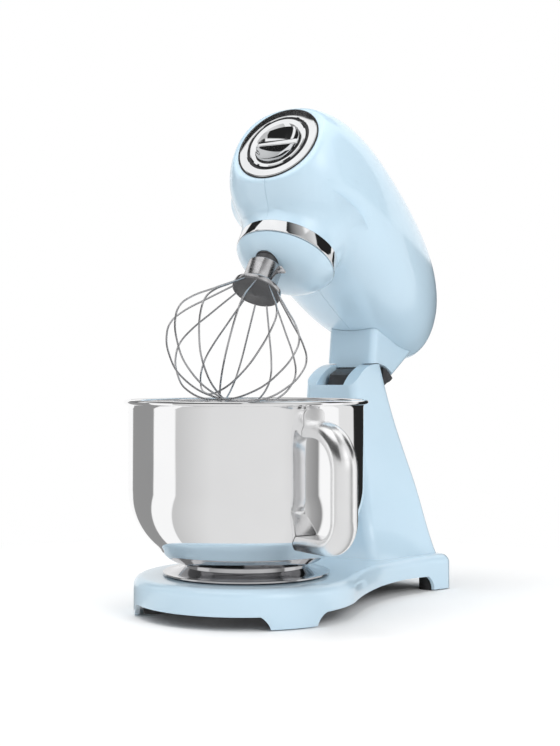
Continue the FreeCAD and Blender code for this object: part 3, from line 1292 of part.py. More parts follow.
def make_whisk():
    """Steel hub on the tool shaft with a cross pin, a dark disc below it and six crossing wire loops."""
    top = "Sizes.whisk_hub_top"
    spot = (TOOL_X, TOOL_Y, "0")
    bore = "(Sizes.tool_shaft_radius + Sizes.running)"
    hub = lathe("whisk_hub", [
        (bore, top), ("15.2", top), ("16", f"{top} - 0.8"), ("16", f"{top} - 22"),
        ("17.8", f"{top} - 23.4"),
        ("23.4", f"{top} - 28"), ("23.4", f"{top} - 29"), ("0", f"{top} - 29"), ("0", f"{top} - 17.3"),
        (bore, f"{top} - 17.3"),
    ], at=spot)
    hole = sketch(hub, "YZ", "hub_pin_bore_profile")
    circle(hole, TOOL_Y, f"{top} - 4.6", "2.66")
    through(hub, "hub_pin_bore", hole)
    named(hub, "whisk_hub", True)
    pin = body("whisk_pin_body")
    rod = sketch(pin, "YZ", "pin_plan", f"{TOOL_X} - 13.5")
    circle(rod, TOOL_Y, f"{top} - 4.6", "2.6")
    feature(pin, "Pad", "pin_rod", rod, Length="32")
    tab = sketch(pin, "XZ", "pin_tab_plan", f"-({TOOL_Y})")
    tab_shape = [("16.8", "-3.4"), ("16.8", "3.4"), ("19.4", "3.4"), ("24.6", "-1.6"), ("24.6", "-3.4")]
    outline(tab, [(f"{TOOL_X} + {along}", f"{top} - 4.6 + ({up})") for along, up in tab_shape])
    feature(pin, "Pad", "pin_tab", tab, Length="3", Midplane=True)
    eye = sketch(pin, "XZ", "pin_eye_plan", f"-({TOOL_Y})")
    circle(eye, f"{TOOL_X} + 20", f"{top} - 5", "1.2")
    through(pin, "pin_eye", eye)
    named(pin, "whisk_pin", True)
    disc = lathe("whisk_disc", [
        ("0", f"{top} - 29.1"), ("23.6", f"{top} - 29.1"), ("23.6", f"{top} - 30.3"), ("0", f"{top} - 34"),
    ], at=spot)
    slot = sketch(disc, "XY", "wire_slot_plan", f"{top} - 36")
    slot.setExpression("AttachmentOffset.Base.x", TOOL_X)
    slot.setExpression("AttachmentOffset.Base.y", TOOL_Y)
    outline(slot, [("20.6", "-1.3"), ("25", "-1.3"), ("25", "1.3"), ("20.6", "1.3")])
    notch = feature(disc, "Pocket", "wire_slot", slot, Length="8", Reversed=True)
    turn = disc.newObject("PartDesign::PolarPattern", "wire_slots")
    turn.Originals = [notch]
    turn.Axis = (slot, ["N_Axis"])
    turn.Angle = 360
    turn.Occurrences = int(2 * size("whisk_loops"))
    disc.Tip = turn
    named(disc, "whisk_disc", True)

    start, wide, radius = size("whisk_hub_top") - 29.9, size("whisk_radius"), size("wire_radius")
    orbit = size("gear_module") * (size("ring_teeth") - size("planet_teeth")) / 2
    lean = math.radians(size("orbit_angle"))
    loops = int(size("whisk_loops"))
    wires = []
    for n in range(loops):
        tip = size("whisk_tip") + radius * (1 + 2.3 * n)
        deep = start - tip
        shape = [
            (0.335, 0), (0.62, 0.19), (0.875, 0.36), (0.987, 0.50),
            (0.962, 0.63), (0.745, 0.80), (0.40, 0.935),
        ]
        side = [Vector(wide * across, 0, start - deep * down) for across, down in shape]
        way = side + [Vector(0, 0, tip)] + [Vector(-p.x, 0, p.z) for p in reversed(side)]
        curve = Part.BSplineCurve()
        curve.interpolate(way)
        path = Part.Wire(curve.toShape())
        along = (way[1] - way[0]).normalize()
        face = Part.makePolygon([
            way[0] + Rotation(along, 60 * k).multVec(Vector(0, radius, 0)) for k in range(7)
        ])
        wire = path.makePipeShell([face], True, False)
        wire.rotate(Vector(), Vector(0, 0, 1), 180 / loops * n)
        wire.translate(Vector(-orbit * math.sin(lean), -orbit * math.cos(lean), 0))
        wires.append(wire)
    plain("whisk_wires_swept", Part.makeCompound(wires), "whisk_wires")


def make_lock_plate():
    """Plate under the bowl: three lugs hook over the lugs of the bowl's foot."""
    base = "Sizes.base_height"
    plate = lathe("bowl_lock_plate", [
        ("0", f"{base} + 0.05"), ("60", f"{base} + 0.05"), ("60", f"{base} + 1.3"), ("45.5", f"{base} + 1.3"),
        ("45.5", f"{base} + 7.3"), ("0", f"{base} + 7.3"),
    ])
    plan = sketch(plate, "XY", "plate_lug_plan", "Sizes.foot_level + 2.7")
    inner, outer = "44", "(Sizes.foot_waist - 5)"
    outline(
        plan,
        [
            (f"{inner} * cos(14 deg)", f"-{inner} * sin(14 deg)"),
            (f"{outer} * cos(14 deg)", f"-{outer} * sin(14 deg)"),
            (f"{outer} * cos(14 deg)", f"{outer} * sin(14 deg)"),
            (f"{inner} * cos(14 deg)", f"{inner} * sin(14 deg)"),
        ],
        {1: outer, 3: f"-{inner}"},
    )
    lug = feature(plate, "Pad", "plate_lug", plan, Length="3")
    turn = plate.newObject("PartDesign::PolarPattern", "plate_lugs")
    turn.Originals = [lug]
    turn.Axis = (plan, ["N_Axis"])
    turn.Angle = 360
    turn.Occurrences = 3
    plate.Tip = turn
    named(plate, "bowl_lock_plate")
    screws = []
    for n in range(4):
        angle = f"({45 + 90 * n} * 1 deg)"
        screws.append(cylinder(f"plate_screw_{n}", "4.2", "2.2", f"30 * cos{angle}", f"30 * sin{angle}",
                               f"{base} + 7.35"))
    named(group("plate_screws_group", screws), "plate_screws")
    back = "Sizes.base_back"
    gland = lathe("cord_gland", [
        ("3.5", f"{back} - 4.8"), ("6", f"{back} - 4.8"), ("6", f"{back} + 0.1"), ("7.6", f"{back} + 0.1"),
        ("6.6", f"{back} + 6"), ("3.5", f"{back} + 6"),
    ], at=("60", "0", "21.5"), along="Y")
    named(gland, "cord_gland")


make_case()
make_motor()
make_hub()
make_speed_control()
make_whisk()
make_lock_plate()


def finish():
    """Checks every object, then writes each sub-part's file."""
    doc.recompute()
    for thing in doc.Objects:
        if "Invalid" in thing.State or "Error" in thing.State:
            raise RuntimeError(f"{thing.Name}: {thing.State}")
    for piece in PIECES:
        if piece.Shape.isNull() or not piece.Shape.isValid():
            raise RuntimeError(f"{piece.Label} has no valid shape")
    os.makedirs("parts", exist_ok=True)
    for piece in PIECES:
        piece.Shape.exportStep(f"parts/{piece.Label}.step")
        print(piece.Label, len(piece.Shape.Solids), round(piece.Shape.Volume / 1000, 2), "cm3")


finish()
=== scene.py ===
import json
import math

import bpy
from mathutils import Matrix, Vector
from mathutils.kdtree import KDTree

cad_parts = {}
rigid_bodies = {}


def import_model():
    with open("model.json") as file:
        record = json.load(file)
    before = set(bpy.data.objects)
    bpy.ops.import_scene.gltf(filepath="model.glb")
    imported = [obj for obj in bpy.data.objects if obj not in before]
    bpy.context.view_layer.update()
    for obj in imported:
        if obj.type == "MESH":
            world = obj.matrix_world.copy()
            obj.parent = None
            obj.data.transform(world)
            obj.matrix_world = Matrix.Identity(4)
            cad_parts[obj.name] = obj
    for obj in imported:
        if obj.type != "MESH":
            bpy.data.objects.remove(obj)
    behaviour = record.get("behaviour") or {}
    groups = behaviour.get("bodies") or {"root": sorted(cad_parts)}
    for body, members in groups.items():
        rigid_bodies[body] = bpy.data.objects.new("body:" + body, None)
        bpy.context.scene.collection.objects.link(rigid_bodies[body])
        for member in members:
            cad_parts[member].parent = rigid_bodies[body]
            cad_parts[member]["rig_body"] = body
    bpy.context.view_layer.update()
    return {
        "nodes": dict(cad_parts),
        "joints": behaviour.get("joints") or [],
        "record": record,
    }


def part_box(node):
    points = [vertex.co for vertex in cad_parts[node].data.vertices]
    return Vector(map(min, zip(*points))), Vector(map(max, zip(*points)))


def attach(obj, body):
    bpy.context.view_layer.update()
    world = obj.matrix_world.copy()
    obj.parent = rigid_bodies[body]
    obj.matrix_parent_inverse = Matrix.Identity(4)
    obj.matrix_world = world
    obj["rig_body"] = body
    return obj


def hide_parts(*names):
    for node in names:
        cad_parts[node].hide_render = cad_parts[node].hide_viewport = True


# Stand mixer with its head raised. Shapes are drawn in millimetres. Pieces of the head are drawn with
# the head down, as it works, and are then carried up about the hinge.

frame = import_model()

MM = 0.001
JOINTS = {joint["name"]: joint for joint in frame["joints"]}
HINGE = Vector(JOINTS["head_tilt"]["pos_m"])
TILT = math.radians(JOINTS["head_tilt"]["range_deg"][1])
RAISE = Matrix.Translation(HINGE) @ Matrix.Rotation(-TILT, 4, "X") @ Matrix.Translation(-HINGE)
LOWER = RAISE.inverted()


def working_box(node):
    """Lowest and highest corner of a head piece with the head down, in millimetres."""
    points = [LOWER @ vertex.co / MM for vertex in frame["nodes"][node].data.vertices]
    low = Vector([min(point[k] for point in points) for k in range(3)])
    high = Vector([max(point[k] for point in points) for k in range(3)])
    return low, high


def working_place(joint):
    """A joint's point with the head down, in millimetres."""
    return LOWER @ Vector(JOINTS[joint]["pos_m"]) / MM


def standing_box(node):
    """Lowest and highest corner of a piece that stays down, in millimetres."""
    low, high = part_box(node)
    return low / MM, high / MM


# ---------------------------------------------------------------------------- finishes

# Noise mostly lies between the first two values; blotches pass from one colour to the other between the
# second two.
NOISE_LOW, NOISE_HIGH = 0.3, 0.7
BLOTCH_START, BLOTCH_END = 0.35, 0.65


def new_finish(name, colour, metallic, roughness, **sockets):
    """A material with its shader; the other sockets are set by name."""
    finish = bpy.data.materials.new(name)
    finish.use_nodes = True
    shader = finish.node_tree.nodes["Principled BSDF"]
    shader.inputs["Base Color"].default_value = (*colour, 1)
    shader.inputs["Metallic"].default_value = metallic
    shader.inputs["Roughness"].default_value = roughness
    for socket, value in sockets.items():
        shader.inputs[socket.replace("_", " ")].default_value = value
    coords = finish.node_tree.nodes.new("ShaderNodeTexCoord")
    coords.name = "coords"
    return finish


def noise_on(finish, scale, detail, stretch=None):
    """Noise over the piece; scale counts features per metre, stretch multiplies it by axis."""
    tree = finish.node_tree
    noise = tree.nodes.new("ShaderNodeTexNoise")
    noise.inputs["Scale"].default_value = scale
    noise.inputs["Detail"].default_value = detail
    place = tree.nodes["coords"].outputs["Object"]
    if stretch:
        mapping = tree.nodes.new("ShaderNodeMapping")
        mapping.inputs["Scale"].default_value = stretch
        tree.links.new(place, mapping.inputs["Vector"])
        place = mapping.outputs["Vector"]
    tree.links.new(place, noise.inputs["Vector"])
    return noise


def rescaled(tree, value, start, end, low=0.0, high=1.0):
    """Carries a value that runs from start to end over to the range from low to high."""
    limits = tree.nodes.new("ShaderNodeMapRange")
    for socket, number in zip(("From Min", "From Max", "To Min", "To Max"), (start, end, low, high)):
        limits.inputs[socket].default_value = number
    tree.links.new(value, limits.inputs["Value"])
    return limits.outputs["Result"]


def vary_roughness(finish, scale, low, high, stretch=None):
    """Haze and handling: the gloss changes slowly between two roughnesses."""
    tree = finish.node_tree
    noise = noise_on(finish, scale, 4.0, stretch)
    roughness = rescaled(tree, noise.outputs["Fac"], NOISE_LOW, NOISE_HIGH, low, high)
    tree.links.new(roughness, tree.nodes["Principled BSDF"].inputs["Roughness"])


def vary_colour(finish, scale, first, second):
    """Soft blotches between two near colours."""
    tree = finish.node_tree
    noise = noise_on(finish, scale, 3.0)
    ramp = tree.nodes.new("ShaderNodeValToRGB")
    start, end = ramp.color_ramp.elements
    start.position, end.position = BLOTCH_START, BLOTCH_END
    start.color, end.color = (*first, 1), (*second, 1)
    tree.links.new(noise.outputs["Fac"], ramp.inputs["Fac"])
    tree.links.new(ramp.outputs["Color"], tree.nodes["Principled BSDF"].inputs["Base Color"])


def add_grain(finish, scale, height, stretch=None):
    """Fine relief, its height in millimetres."""
    tree = finish.node_tree
    noise = noise_on(finish, scale, 2.0, stretch)
    bump = tree.nodes.new("ShaderNodeBump")
    bump.inputs["Distance"].default_value = height * MM
    bump.inputs["Strength"].default_value = 1.0
    tree.links.new(noise.outputs["Fac"], bump.inputs["Height"])
    tree.links.new(bump.outputs["Normal"], tree.nodes["Principled BSDF"].inputs["Normal"])


def enamel_paint():
    """Glossy baked enamel: an even pastel coat with a faint orange peel under its clear gloss."""
    paint = new_finish("blue_enamel", (0.60, 0.77, 0.90), 0.0, 0.3, Coat_Weight=0.7, Coat_Roughness=0.03)
    vary_colour(paint, 14, (0.575, 0.755, 0.880), (0.590, 0.765, 0.890))
    vary_roughness(paint, 40, 0.28, 0.33)
    add_grain(paint, 700, 0.0006)
    return paint


def chrome_plate():
    """Bright plating with the faint haze of handling."""
    plate = new_finish("bright_chrome", (0.86, 0.87, 0.88), 1.0, 0.05)
    vary_colour(plate, 30, (0.84, 0.85, 0.86), (0.89, 0.90, 0.91))
    vary_roughness(plate, 60, 0.03, 0.08)
    return plate


def polished_steel():
    """Mirror-polished sheet with the fine rings of its spinning."""
    sheet = new_finish("polished_sheet", (0.93, 0.93, 0.935), 1.0, 0.08)
    vary_colour(sheet, 25, (0.925, 0.925, 0.93), (0.94, 0.94, 0.945))
    vary_roughness(sheet, 50, 0.05, 0.07)
    add_grain(sheet, 60, 0.0012, stretch=(0.1, 0.1, 30))
    return sheet


def handle_plate():
    """Satin-bright steel of the handle."""
    plate = new_finish("handle_steel", (0.94, 0.94, 0.945), 1.0, 0.25)
    vary_colour(plate, 40, (0.93, 0.93, 0.935), (0.95, 0.95, 0.955))
    vary_roughness(plate, 70, 0.22, 0.27)
    return plate


def shaded_foot_plate():
    """Turned steel under the bowl, painted darker than the polished sheet as painted shade under the bowl.
    """
    plate = new_finish("foot_steel_painted_shade", (0.52, 0.52, 0.53), 1.0, 0.08)
    vary_colour(plate, 40, (0.50, 0.50, 0.51), (0.56, 0.56, 0.57))
    vary_roughness(plate, 90, 0.06, 0.10, stretch=(1, 1, 20))
    return plate


def drawn_steel():
    """Turned and drawn steel of the whisk and its shaft."""
    steel = new_finish("bright_steel", (0.50, 0.50, 0.51), 1.0, 0.18)
    vary_colour(steel, 120, (0.46, 0.46, 0.47), (0.54, 0.54, 0.55))
    vary_roughness(steel, 200, 0.12, 0.26, stretch=(1, 1, 6))
    return steel


def simple_metal(name, dark, light, rough, grain):
    """Workshop metals inside the housings: cut, cast or rolled."""
    uneven = 0.08
    metal = new_finish(name, light, 1.0, rough)
    vary_colour(metal, 150, dark, light)
    vary_roughness(metal, 220, rough - uneven, rough + uneven)
    add_grain(metal, 900, grain)
    return metal


def moulding(name, dark, light, rough, grain):
    """Moulded plastic or rubber with a fine texture."""
    uneven = 0.06
    plastic = new_finish(name, light, 0.0, rough)
    vary_colour(plastic, 80, dark, light)
    vary_roughness(plastic, 300, rough - uneven, rough + uneven)
    add_grain(plastic, 1600, grain)
    return plastic


FINISHES = {
    "enamel": enamel_paint(),
    "chrome": chrome_plate(),
    "bowl_steel": polished_steel(),
    "steel": drawn_steel(),
    "handle_steel": handle_plate(),
    # Steel painted darker for the bowl's foot: painted shade under the bowl.
    "foot_steel_painted_shade": shaded_foot_plate(),
    "gear_steel": simple_metal("cut_steel", (0.36, 0.36, 0.37), (0.50, 0.50, 0.52), 0.32, 0.01),
    "aluminium": simple_metal("cast_aluminium", (0.62, 0.63, 0.64), (0.74, 0.75, 0.76), 0.42, 0.04),
    "bronze": simple_metal("bearing_bronze", (0.46, 0.30, 0.14), (0.66, 0.46, 0.24), 0.38, 0.02),
    "core_steel": simple_metal("laminated_steel", (0.22, 0.20, 0.19), (0.36, 0.33, 0.31), 0.55, 0.05),
    "dark_plastic": moulding("dark_moulding", (0.028, 0.028, 0.030), (0.048, 0.048, 0.052), 0.42, 0.010),
    "board": moulding("circuit_board", (0.02, 0.14, 0.06), (0.03, 0.22, 0.10), 0.45, 0.005),
    "carbon": moulding("carbon_block", (0.02, 0.02, 0.02), (0.05, 0.05, 0.05), 0.70, 0.020),
    "grey_moulding": moulding("grey_moulding", (0.085, 0.085, 0.088), (0.110, 0.110, 0.114), 0.50, 0.006),
    "rubber": moulding("black_rubber", (0.014, 0.014, 0.015), (0.030, 0.030, 0.032), 0.72, 0.015),
}

SLOT_OF = {part["node"]: part["material_slot"] for part in frame["record"]["subparts"]}
for node, cad_piece in frame["nodes"].items():
    cad_piece.data.materials.clear()
    cad_piece.data.materials.append(FINISHES[SLOT_OF[node]])


# ---------------------------------------------------------------------------- workshop

# In millimetres: corners nearer than WELD become one, and a turned edge is found to within SAME_EDGE.
WELD = 0.002
SAME_EDGE = 0.01


def select_mode(kind):
    bpy.context.tool_settings.mesh_select_mode = (kind == "VERT", kind == "EDGE", kind == "FACE")


def deselect_objects():
    bpy.ops.object.select_all(action="DESELECT")


def edit(piece):
    bpy.context.view_layer.objects.active = piece
    bpy.ops.object.mode_set(mode="EDIT")


def done():
    bpy.ops.object.mode_set(mode="OBJECT")


def pick(piece, kind, test):
    """Selects a piece's edges or faces whose corners all pass the test; starts and ends out of edit mode."""
    mesh = piece.data
    select_mode(kind)
    edit(piece)
    bpy.ops.mesh.select_all(action="DESELECT")
    done()
    wanted = [test(vertex.co / MM) for vertex in mesh.vertices]
    count = 0
    for element in (mesh.edges if kind == "EDGE" else mesh.polygons):
        element.select = all(wanted[k] for k in element.vertices)
        count += element.select
    if not count:
        raise RuntimeError(f"{piece.name}: nothing to pick")


def bevel_rings(piece, rings):
    """Rounds turned edges given as (radius, height, size, segments)."""
    for radius, height, size, segments in rings:
        pick(
            piece, "EDGE",
            lambda p: abs(math.hypot(p.x, p.y) - radius) < SAME_EDGE and abs(p.z - height) < SAME_EDGE,
        )
        edit(piece)
        bpy.ops.mesh.bevel(offset=size * MM, segments=segments, affect="EDGES")
        done()


def turn(name, section, steps=96, rings=(), smooth=30):
    """Spins a section about the Z axis: its corners (radius, height) end on the axis or where they start."""
    deselect_objects()
    select_mode("VERT")
    bpy.ops.mesh.primitive_plane_add(size=MM)
    piece = bpy.context.object
    piece.name = name
    edit(piece)
    bpy.ops.mesh.select_all(action="SELECT")
    bpy.ops.mesh.merge(type="CENTER")
    bpy.ops.transform.translate(value=(section[0][0] * MM, 0, section[0][1] * MM))
    for before, after in zip(section, section[1:]):
        step = ((after[0] - before[0]) * MM, 0, (after[1] - before[1]) * MM)
        bpy.ops.mesh.extrude_region_move(TRANSFORM_OT_translate={"value": step})
    bpy.ops.mesh.select_all(action="SELECT")
    bpy.ops.mesh.remove_doubles(threshold=WELD * MM)
    bpy.ops.mesh.spin(steps=steps, angle=2 * math.pi, center=(0, 0, 0), axis=(0, 0, 1))
    bpy.ops.mesh.select_all(action="SELECT")
    bpy.ops.mesh.remove_doubles(threshold=WELD * MM)
    bpy.ops.mesh.normals_make_consistent(inside=False)
    done()
    bevel_rings(piece, rings)
    shade(piece, smooth)
    return piece


def choose(*pieces):
    """Selects only these pieces; the first is the active one."""
    deselect_objects()
    for piece in pieces:
        piece.select_set(True)
    bpy.context.view_layer.objects.active = pieces[0]


def shade(piece, angle):
    """Smooth shading, with hard edges where faces turn by more than the angle."""
    choose(piece)
    bpy.ops.object.shade_smooth_by_angle(angle=math.radians(angle))


def carry(piece, *places):
    """Puts a piece drawn at the origin in its place, keeping the place in its mesh."""
    place = Matrix.Identity(4)
    for step in places:
        place = place @ step
    piece.data.transform(place)
    return piece


def moved(x, y, z):
    """A shift in millimetres."""
    return Matrix.Translation(Vector((x, y, z)) * MM)


def arc(start, end, radius, steps):
    """Points from start to end on an arc; a positive radius bulges to the right of the way."""
    a, b = Vector(start), Vector(end)
    half = (b - a) / 2
    side = Vector((-half.y, half.x)).normalized()
    centre = a + half + side * math.copysign(math.sqrt(radius ** 2 - half.length_squared), radius)
    first, last = a - centre, b - centre
    swing = first.angle_signed(last)
    points = []
    for k in range(1, steps + 1):
        turned = -swing * k / steps
        points.append((
            centre.x + first.x * math.cos(turned) - first.y * math.sin(turned),
            centre.y + first.x * math.sin(turned) + first.y * math.cos(turned),
        ))
    return points


def fit(piece, node, finish=None):
    """A finished piece rides on the body of the node that it stands for and takes its slot."""
    body = frame["nodes"][node]["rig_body"]
    slot = SLOT_OF[node]
    piece.data.materials.clear()
    piece.data.materials.append(FINISHES[finish or slot])
    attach(piece, body)
    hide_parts(node)
    return piece


# The boss over the drive ring meets the belly of the head in a hollow edge. It lies between these radii
# about the drive's axis, behind BOSS_FRONT and between these heights over the ring, in millimetres.
BOSS_INNER, BOSS_OUTER = 49, 74
BOSS_FRONT = -66
BOSS_LOW, BOSS_HIGH = 3.5, 45
SHARP = math.radians(12)

# It is blended as far as BLEND_REACH, and finer faces reach BLEND_MARGIN further. The lowest RIM_KEPT of
# the boss stays, and corners nearer than SEAM to the middle keep their place across.
BLEND_REACH = 11.0
BLEND_MARGIN = 3.0
BLEND_PASSES, BLEND_STEP = 30, 0.5
RIM_KEPT = 1.2
SEAM = 0.3
ACROSS = 0.999

# Faces of the outside point up by less than this, before and after the blend's finer faces.
OUTSIDE, OUTSIDE_FINER = 0.3, 0.5
RING_TOP = working_box("drive_ring")[1].z


def near_crease(mesh):
    """Each corner's place with the head down, and its distance to the hollow edge, in millimetres."""
    level = LOWER.to_3x3()
    down = [LOWER @ vertex.co / MM for vertex in mesh.vertices]
    outward = {}
    for face in mesh.polygons:
        normal = level @ face.normal
        if normal.z < OUTSIDE:
            for edge in face.edge_keys:
                outward.setdefault(edge, []).append(normal)
    spots = []
    for (first, second), normals in outward.items():
        middle = (down[first] + down[second]) / 2
        beside = abs(middle.x) > SEAM and middle.y > BOSS_FRONT
        round_boss = BOSS_INNER < math.hypot(middle.x, middle.y) < BOSS_OUTER
        over_ring = RING_TOP + BOSS_LOW < middle.z < RING_TOP + BOSS_HIGH
        if len(normals) == 2 and beside and round_boss and over_ring:
            if normals[0].angle(normals[1]) > SHARP:
                spots.append(middle)
    crease = KDTree(len(spots))
    for number, spot in enumerate(spots):
        crease.insert(spot, number)
    crease.balance()
    return down, [crease.find(place)[2] for place in down]


def blend_neighbours(mesh, down, reach):
    """For each corner that the blend may move, the corners that it is drawn towards."""
    level = LOWER.to_3x3()
    beside, held = {}, set()
    for face in mesh.polygons:
        normal = level @ face.normal
        if abs(normal.x) > ACROSS and all(abs(down[k].x) < SEAM for k in face.vertices):
            continue
        close = min(reach[k] for k in face.vertices) < BLEND_REACH + BLEND_MARGIN
        if close and normal.z < OUTSIDE_FINER:
            for first, second in face.edge_keys:
                beside.setdefault(first, set()).add(second)
                beside.setdefault(second, set()).add(first)
        else:
            held.update(face.vertices)
    return {
        k: near for k, near in beside.items()
        if k not in held and reach[k] < BLEND_REACH and down[k].z > RING_TOP + RIM_KEPT
    }


def soften_boss(piece):
    """Blends the boss over the drive ring into the belly of the head; the seam keeps its plane."""
    mesh = piece.data
    level = LOWER.to_3x3()
    reach = near_crease(mesh)[1]
    select_mode("FACE")
    edit(piece)
    bpy.ops.mesh.select_all(action="DESELECT")
    done()
    for face in mesh.polygons:
        close = min(reach[k] for k in face.vertices) < BLEND_REACH + BLEND_MARGIN
        face.select = close and (level @ face.normal).z < OUTSIDE
    edit(piece)
    bpy.ops.mesh.subdivide(number_cuts=1)
    done()
    down, reach = near_crease(mesh)
    neighbours = blend_neighbours(mesh, down, reach)
    for _ in range(BLEND_PASSES):
        relaxed = {}
        for k, near in neighbours.items():
            mean = sum((mesh.vertices[n].co for n in near), Vector()) / len(near)
            place = mesh.vertices[k].co.lerp(mean, BLEND_STEP)
            if abs(down[k].x) < SEAM:
                place.x = mesh.vertices[k].co.x
            relaxed[k] = place
        for k, place in relaxed.items():
            mesh.vertices[k].co = place


def refined(node, angle, finish=None, mend=None):
    """A welded and smooth-shaded copy of a cast or swept piece; a mend may shape it further."""
    deselect_objects()
    mesh = frame["nodes"][node].data.copy()
    piece = bpy.data.objects.new(node + "_finished", mesh)
    bpy.context.scene.collection.objects.link(piece)
    select_mode("VERT")
    edit(piece)
    bpy.ops.mesh.select_all(action="SELECT")
    bpy.ops.mesh.remove_doubles(threshold=WELD * MM)
    bpy.ops.mesh.customdata_custom_splitnormals_clear()
    done()
    if mend:
        mend(piece)
    shade(piece, angle)
    return fit(piece, node, finish)


# ---------------------------------------------------------------------------- castings

refined("base_casting", 32)
refined("head_shell_left", 32, mend=soften_boss)
refined("head_shell_right", 32, mend=soften_boss)
refined("neck_collar", 32)
refined("bowl_handle", 40, "handle_steel")
refined("release_button", 30)
refined("hinge_block", 30)


# ---------------------------------------------------------------------------- bowl

SHEET = 1.2
BEAD = 2.3
LIP = 4.5
FLARE_HEIGHT, FLARE_CORNER = 7.4, 9
SHOULDER = 118.0
BELLY = 26
KNEE = 14.2
FLOOR_RADIUS, FLOOR_CORNER = 67.0, 40
# Shares of the sheet's thickness, across and up, at the knee.
KNEE_SHEET = Vector((-0.7, 0.72))


def make_bowl():
    """Deep-drawn bowl: flat floor, round belly, straight wall, and a rim rolled outwards."""
    low, high = standing_box("bowl")
    rim, top, floor = high.x, high.z, low.z
    wall = rim - LIP
    knee = Vector((wall - BELLY, floor + KNEE))
    side = (BELLY ** 2 + (SHOULDER - knee.y) ** 2) / (2 * BELLY)
    bead, bead_level, flare = rim - BEAD, top - BEAD, top - FLARE_HEIGHT
    outside = [(0, floor), (FLOOR_RADIUS, floor)]
    outside += arc((FLOOR_RADIUS, floor), knee, FLOOR_CORNER, 8)
    outside += arc(knee, (wall, SHOULDER), side, 14)
    outside += [(wall, flare)] + arc((wall, flare), (bead - 0.6, bead_level - BEAD + 0.1), -FLARE_CORNER, 4)
    roll = [
        (bead + BEAD * math.cos(math.radians(a)), bead_level + BEAD * math.sin(math.radians(a)))
        for a in range(-90, 211, 20)
    ]
    inner_wall, inner_knee = wall - SHEET, knee + SHEET * KNEE_SHEET
    inside = [(inner_wall, flare - 0.2), (inner_wall, SHOULDER)]
    inside += arc((inner_wall, SHOULDER), inner_knee, SHEET - side, 14)
    inside += arc(inner_knee, (FLOOR_RADIUS, floor + SHEET), SHEET - FLOOR_CORNER, 8)
    inside += [(0, floor + SHEET)]
    piece = turn("bowl_finished", outside + roll + inside, steps=160, smooth=40)
    return fit(piece, "bowl")


def make_bowl_foot():
    """Spun foot: a flat edge, a hollow cone up to the waist, and a seat for the bowl."""
    low, high = standing_box("bowl_foot")
    edge, bottom, top = high.x, low.z, high.z
    waist, seat = 58.0, 66.4
    bore = waist - 4
    section = [(bore, bottom), (edge, bottom), (edge, bottom + 1.5)]
    section += arc((edge, bottom + 1.5), (waist, bottom + 6.5), -28, 8)
    section += [(waist, top - 1.5), (seat, top), (bore, top), (bore, bottom)]
    piece = turn("bowl_foot_finished", section, steps=128, rings=[(edge, bottom + 1.5, 0.5, 3)])
    # The foot takes the darker steel: painted shade under the bowl.
    return fit(piece, "bowl_foot", "foot_steel_painted_shade")


make_bowl()
make_bowl_foot()


# ---------------------------------------------------------------------------- drive and whisk

TOOL = working_place("tool_spin")
ON_TOOL = moved(TOOL.x, TOOL.y, 0)
SHAFT_BORE = 6.56
COLLAR_RADIUS, COLLAR_OPENING = 11.7, 12.2


def make_drive_ring():
    """Chrome band round the drive, its face slightly crowned."""
    low, high = working_box("drive_ring")
    edge, inner = high.x - 0.3, high.x - 3.2
    face = arc((edge, low.z), (edge, high.z), 100, 6)
    section = [(inner, low.z), (edge, low.z)] + face + [(inner, high.z), (inner, low.z)]
    piece = turn("drive_ring_finished", section, steps=144, rings=[(edge, low.z, 0.4, 3)], smooth=40)
    return fit(carry(piece, RAISE), "drive_ring")


def drill(piece, radius, depth, x, y, z):
    """Cuts a round upright hole, its middle given in millimetres."""
    deselect_objects()
    bpy.ops.mesh.primitive_cylinder_add(
        vertices=64, radius=radius * MM, depth=depth * MM, location=(x * MM, y * MM, z * MM)
    )
    bit = bpy.context.object
    bpy.ops.object.transform_apply()
    hole = piece.modifiers.new("hole", "BOOLEAN")
    hole.operation = "DIFFERENCE"
    hole.object = bit
    choose(piece)
    bpy.ops.object.modifier_apply(modifier=hole.name)
    bpy.data.objects.remove(bit)


def make_planetary_disc():
    """Turning disc: an even dome below, a cup above, and an opening where the tool shaft's collar sits."""
    low, high = working_box("planetary_disc")
    rim, bottom, deck, top = high.x, low.z, low.z + 23, high.z
    dome = (rim * 0.62, bottom + 4.9)
    cup, cup_inner, cup_top = rim - 3, rim - 8, deck + 11
    boss, shaft, shaft_end = 18, 8.02, top - 17.9
    section = [(0, bottom)] + arc((0, bottom), dome, 74, 8) + arc(dome, (rim, deck - 0.9), 40, 10)
    section += [
        (rim - 0.5, deck - 0.4), (cup, deck - 0.4), (cup, cup_top), (cup_inner, cup_top),
        (cup_inner, deck - 4), (boss, bottom + 9.5), (boss, top), (shaft, top), (shaft, shaft_end),
        (0, shaft_end),
    ]
    piece = turn("planetary_disc_finished", section, steps=128, smooth=32)
    drill(piece, COLLAR_OPENING, 14, TOOL.x, TOOL.y, bottom + 2)
    shade(piece, 32)
    return fit(carry(piece, RAISE), "planetary_disc")


def make_whisk_hub():
    """Steel hub with a rounded top edge and the bright flared skirt that clamps the wires."""
    top = working_box("whisk_hub")[1].z
    barrel, skirt, skirt_end, socket_end = 16.8, 23.4, top - 29, top - 17.3
    section = [(SHAFT_BORE, top), (barrel, top), (barrel, top - 20)]
    section += arc((barrel, top - 20), (22.6, top - 24.6), 6.5, 6)
    section += [(skirt, top - 25.2), (skirt, skirt_end), (0, skirt_end)]
    section += [(0, socket_end), (SHAFT_BORE, socket_end), (SHAFT_BORE, top)]
    rounded = [(barrel, top, 0.9, 4), (skirt, skirt_end, 0.35, 2)]
    piece = turn("whisk_hub_finished", section, steps=96, rings=rounded, smooth=35)
    return fit(carry(piece, RAISE, ON_TOOL), "whisk_hub")


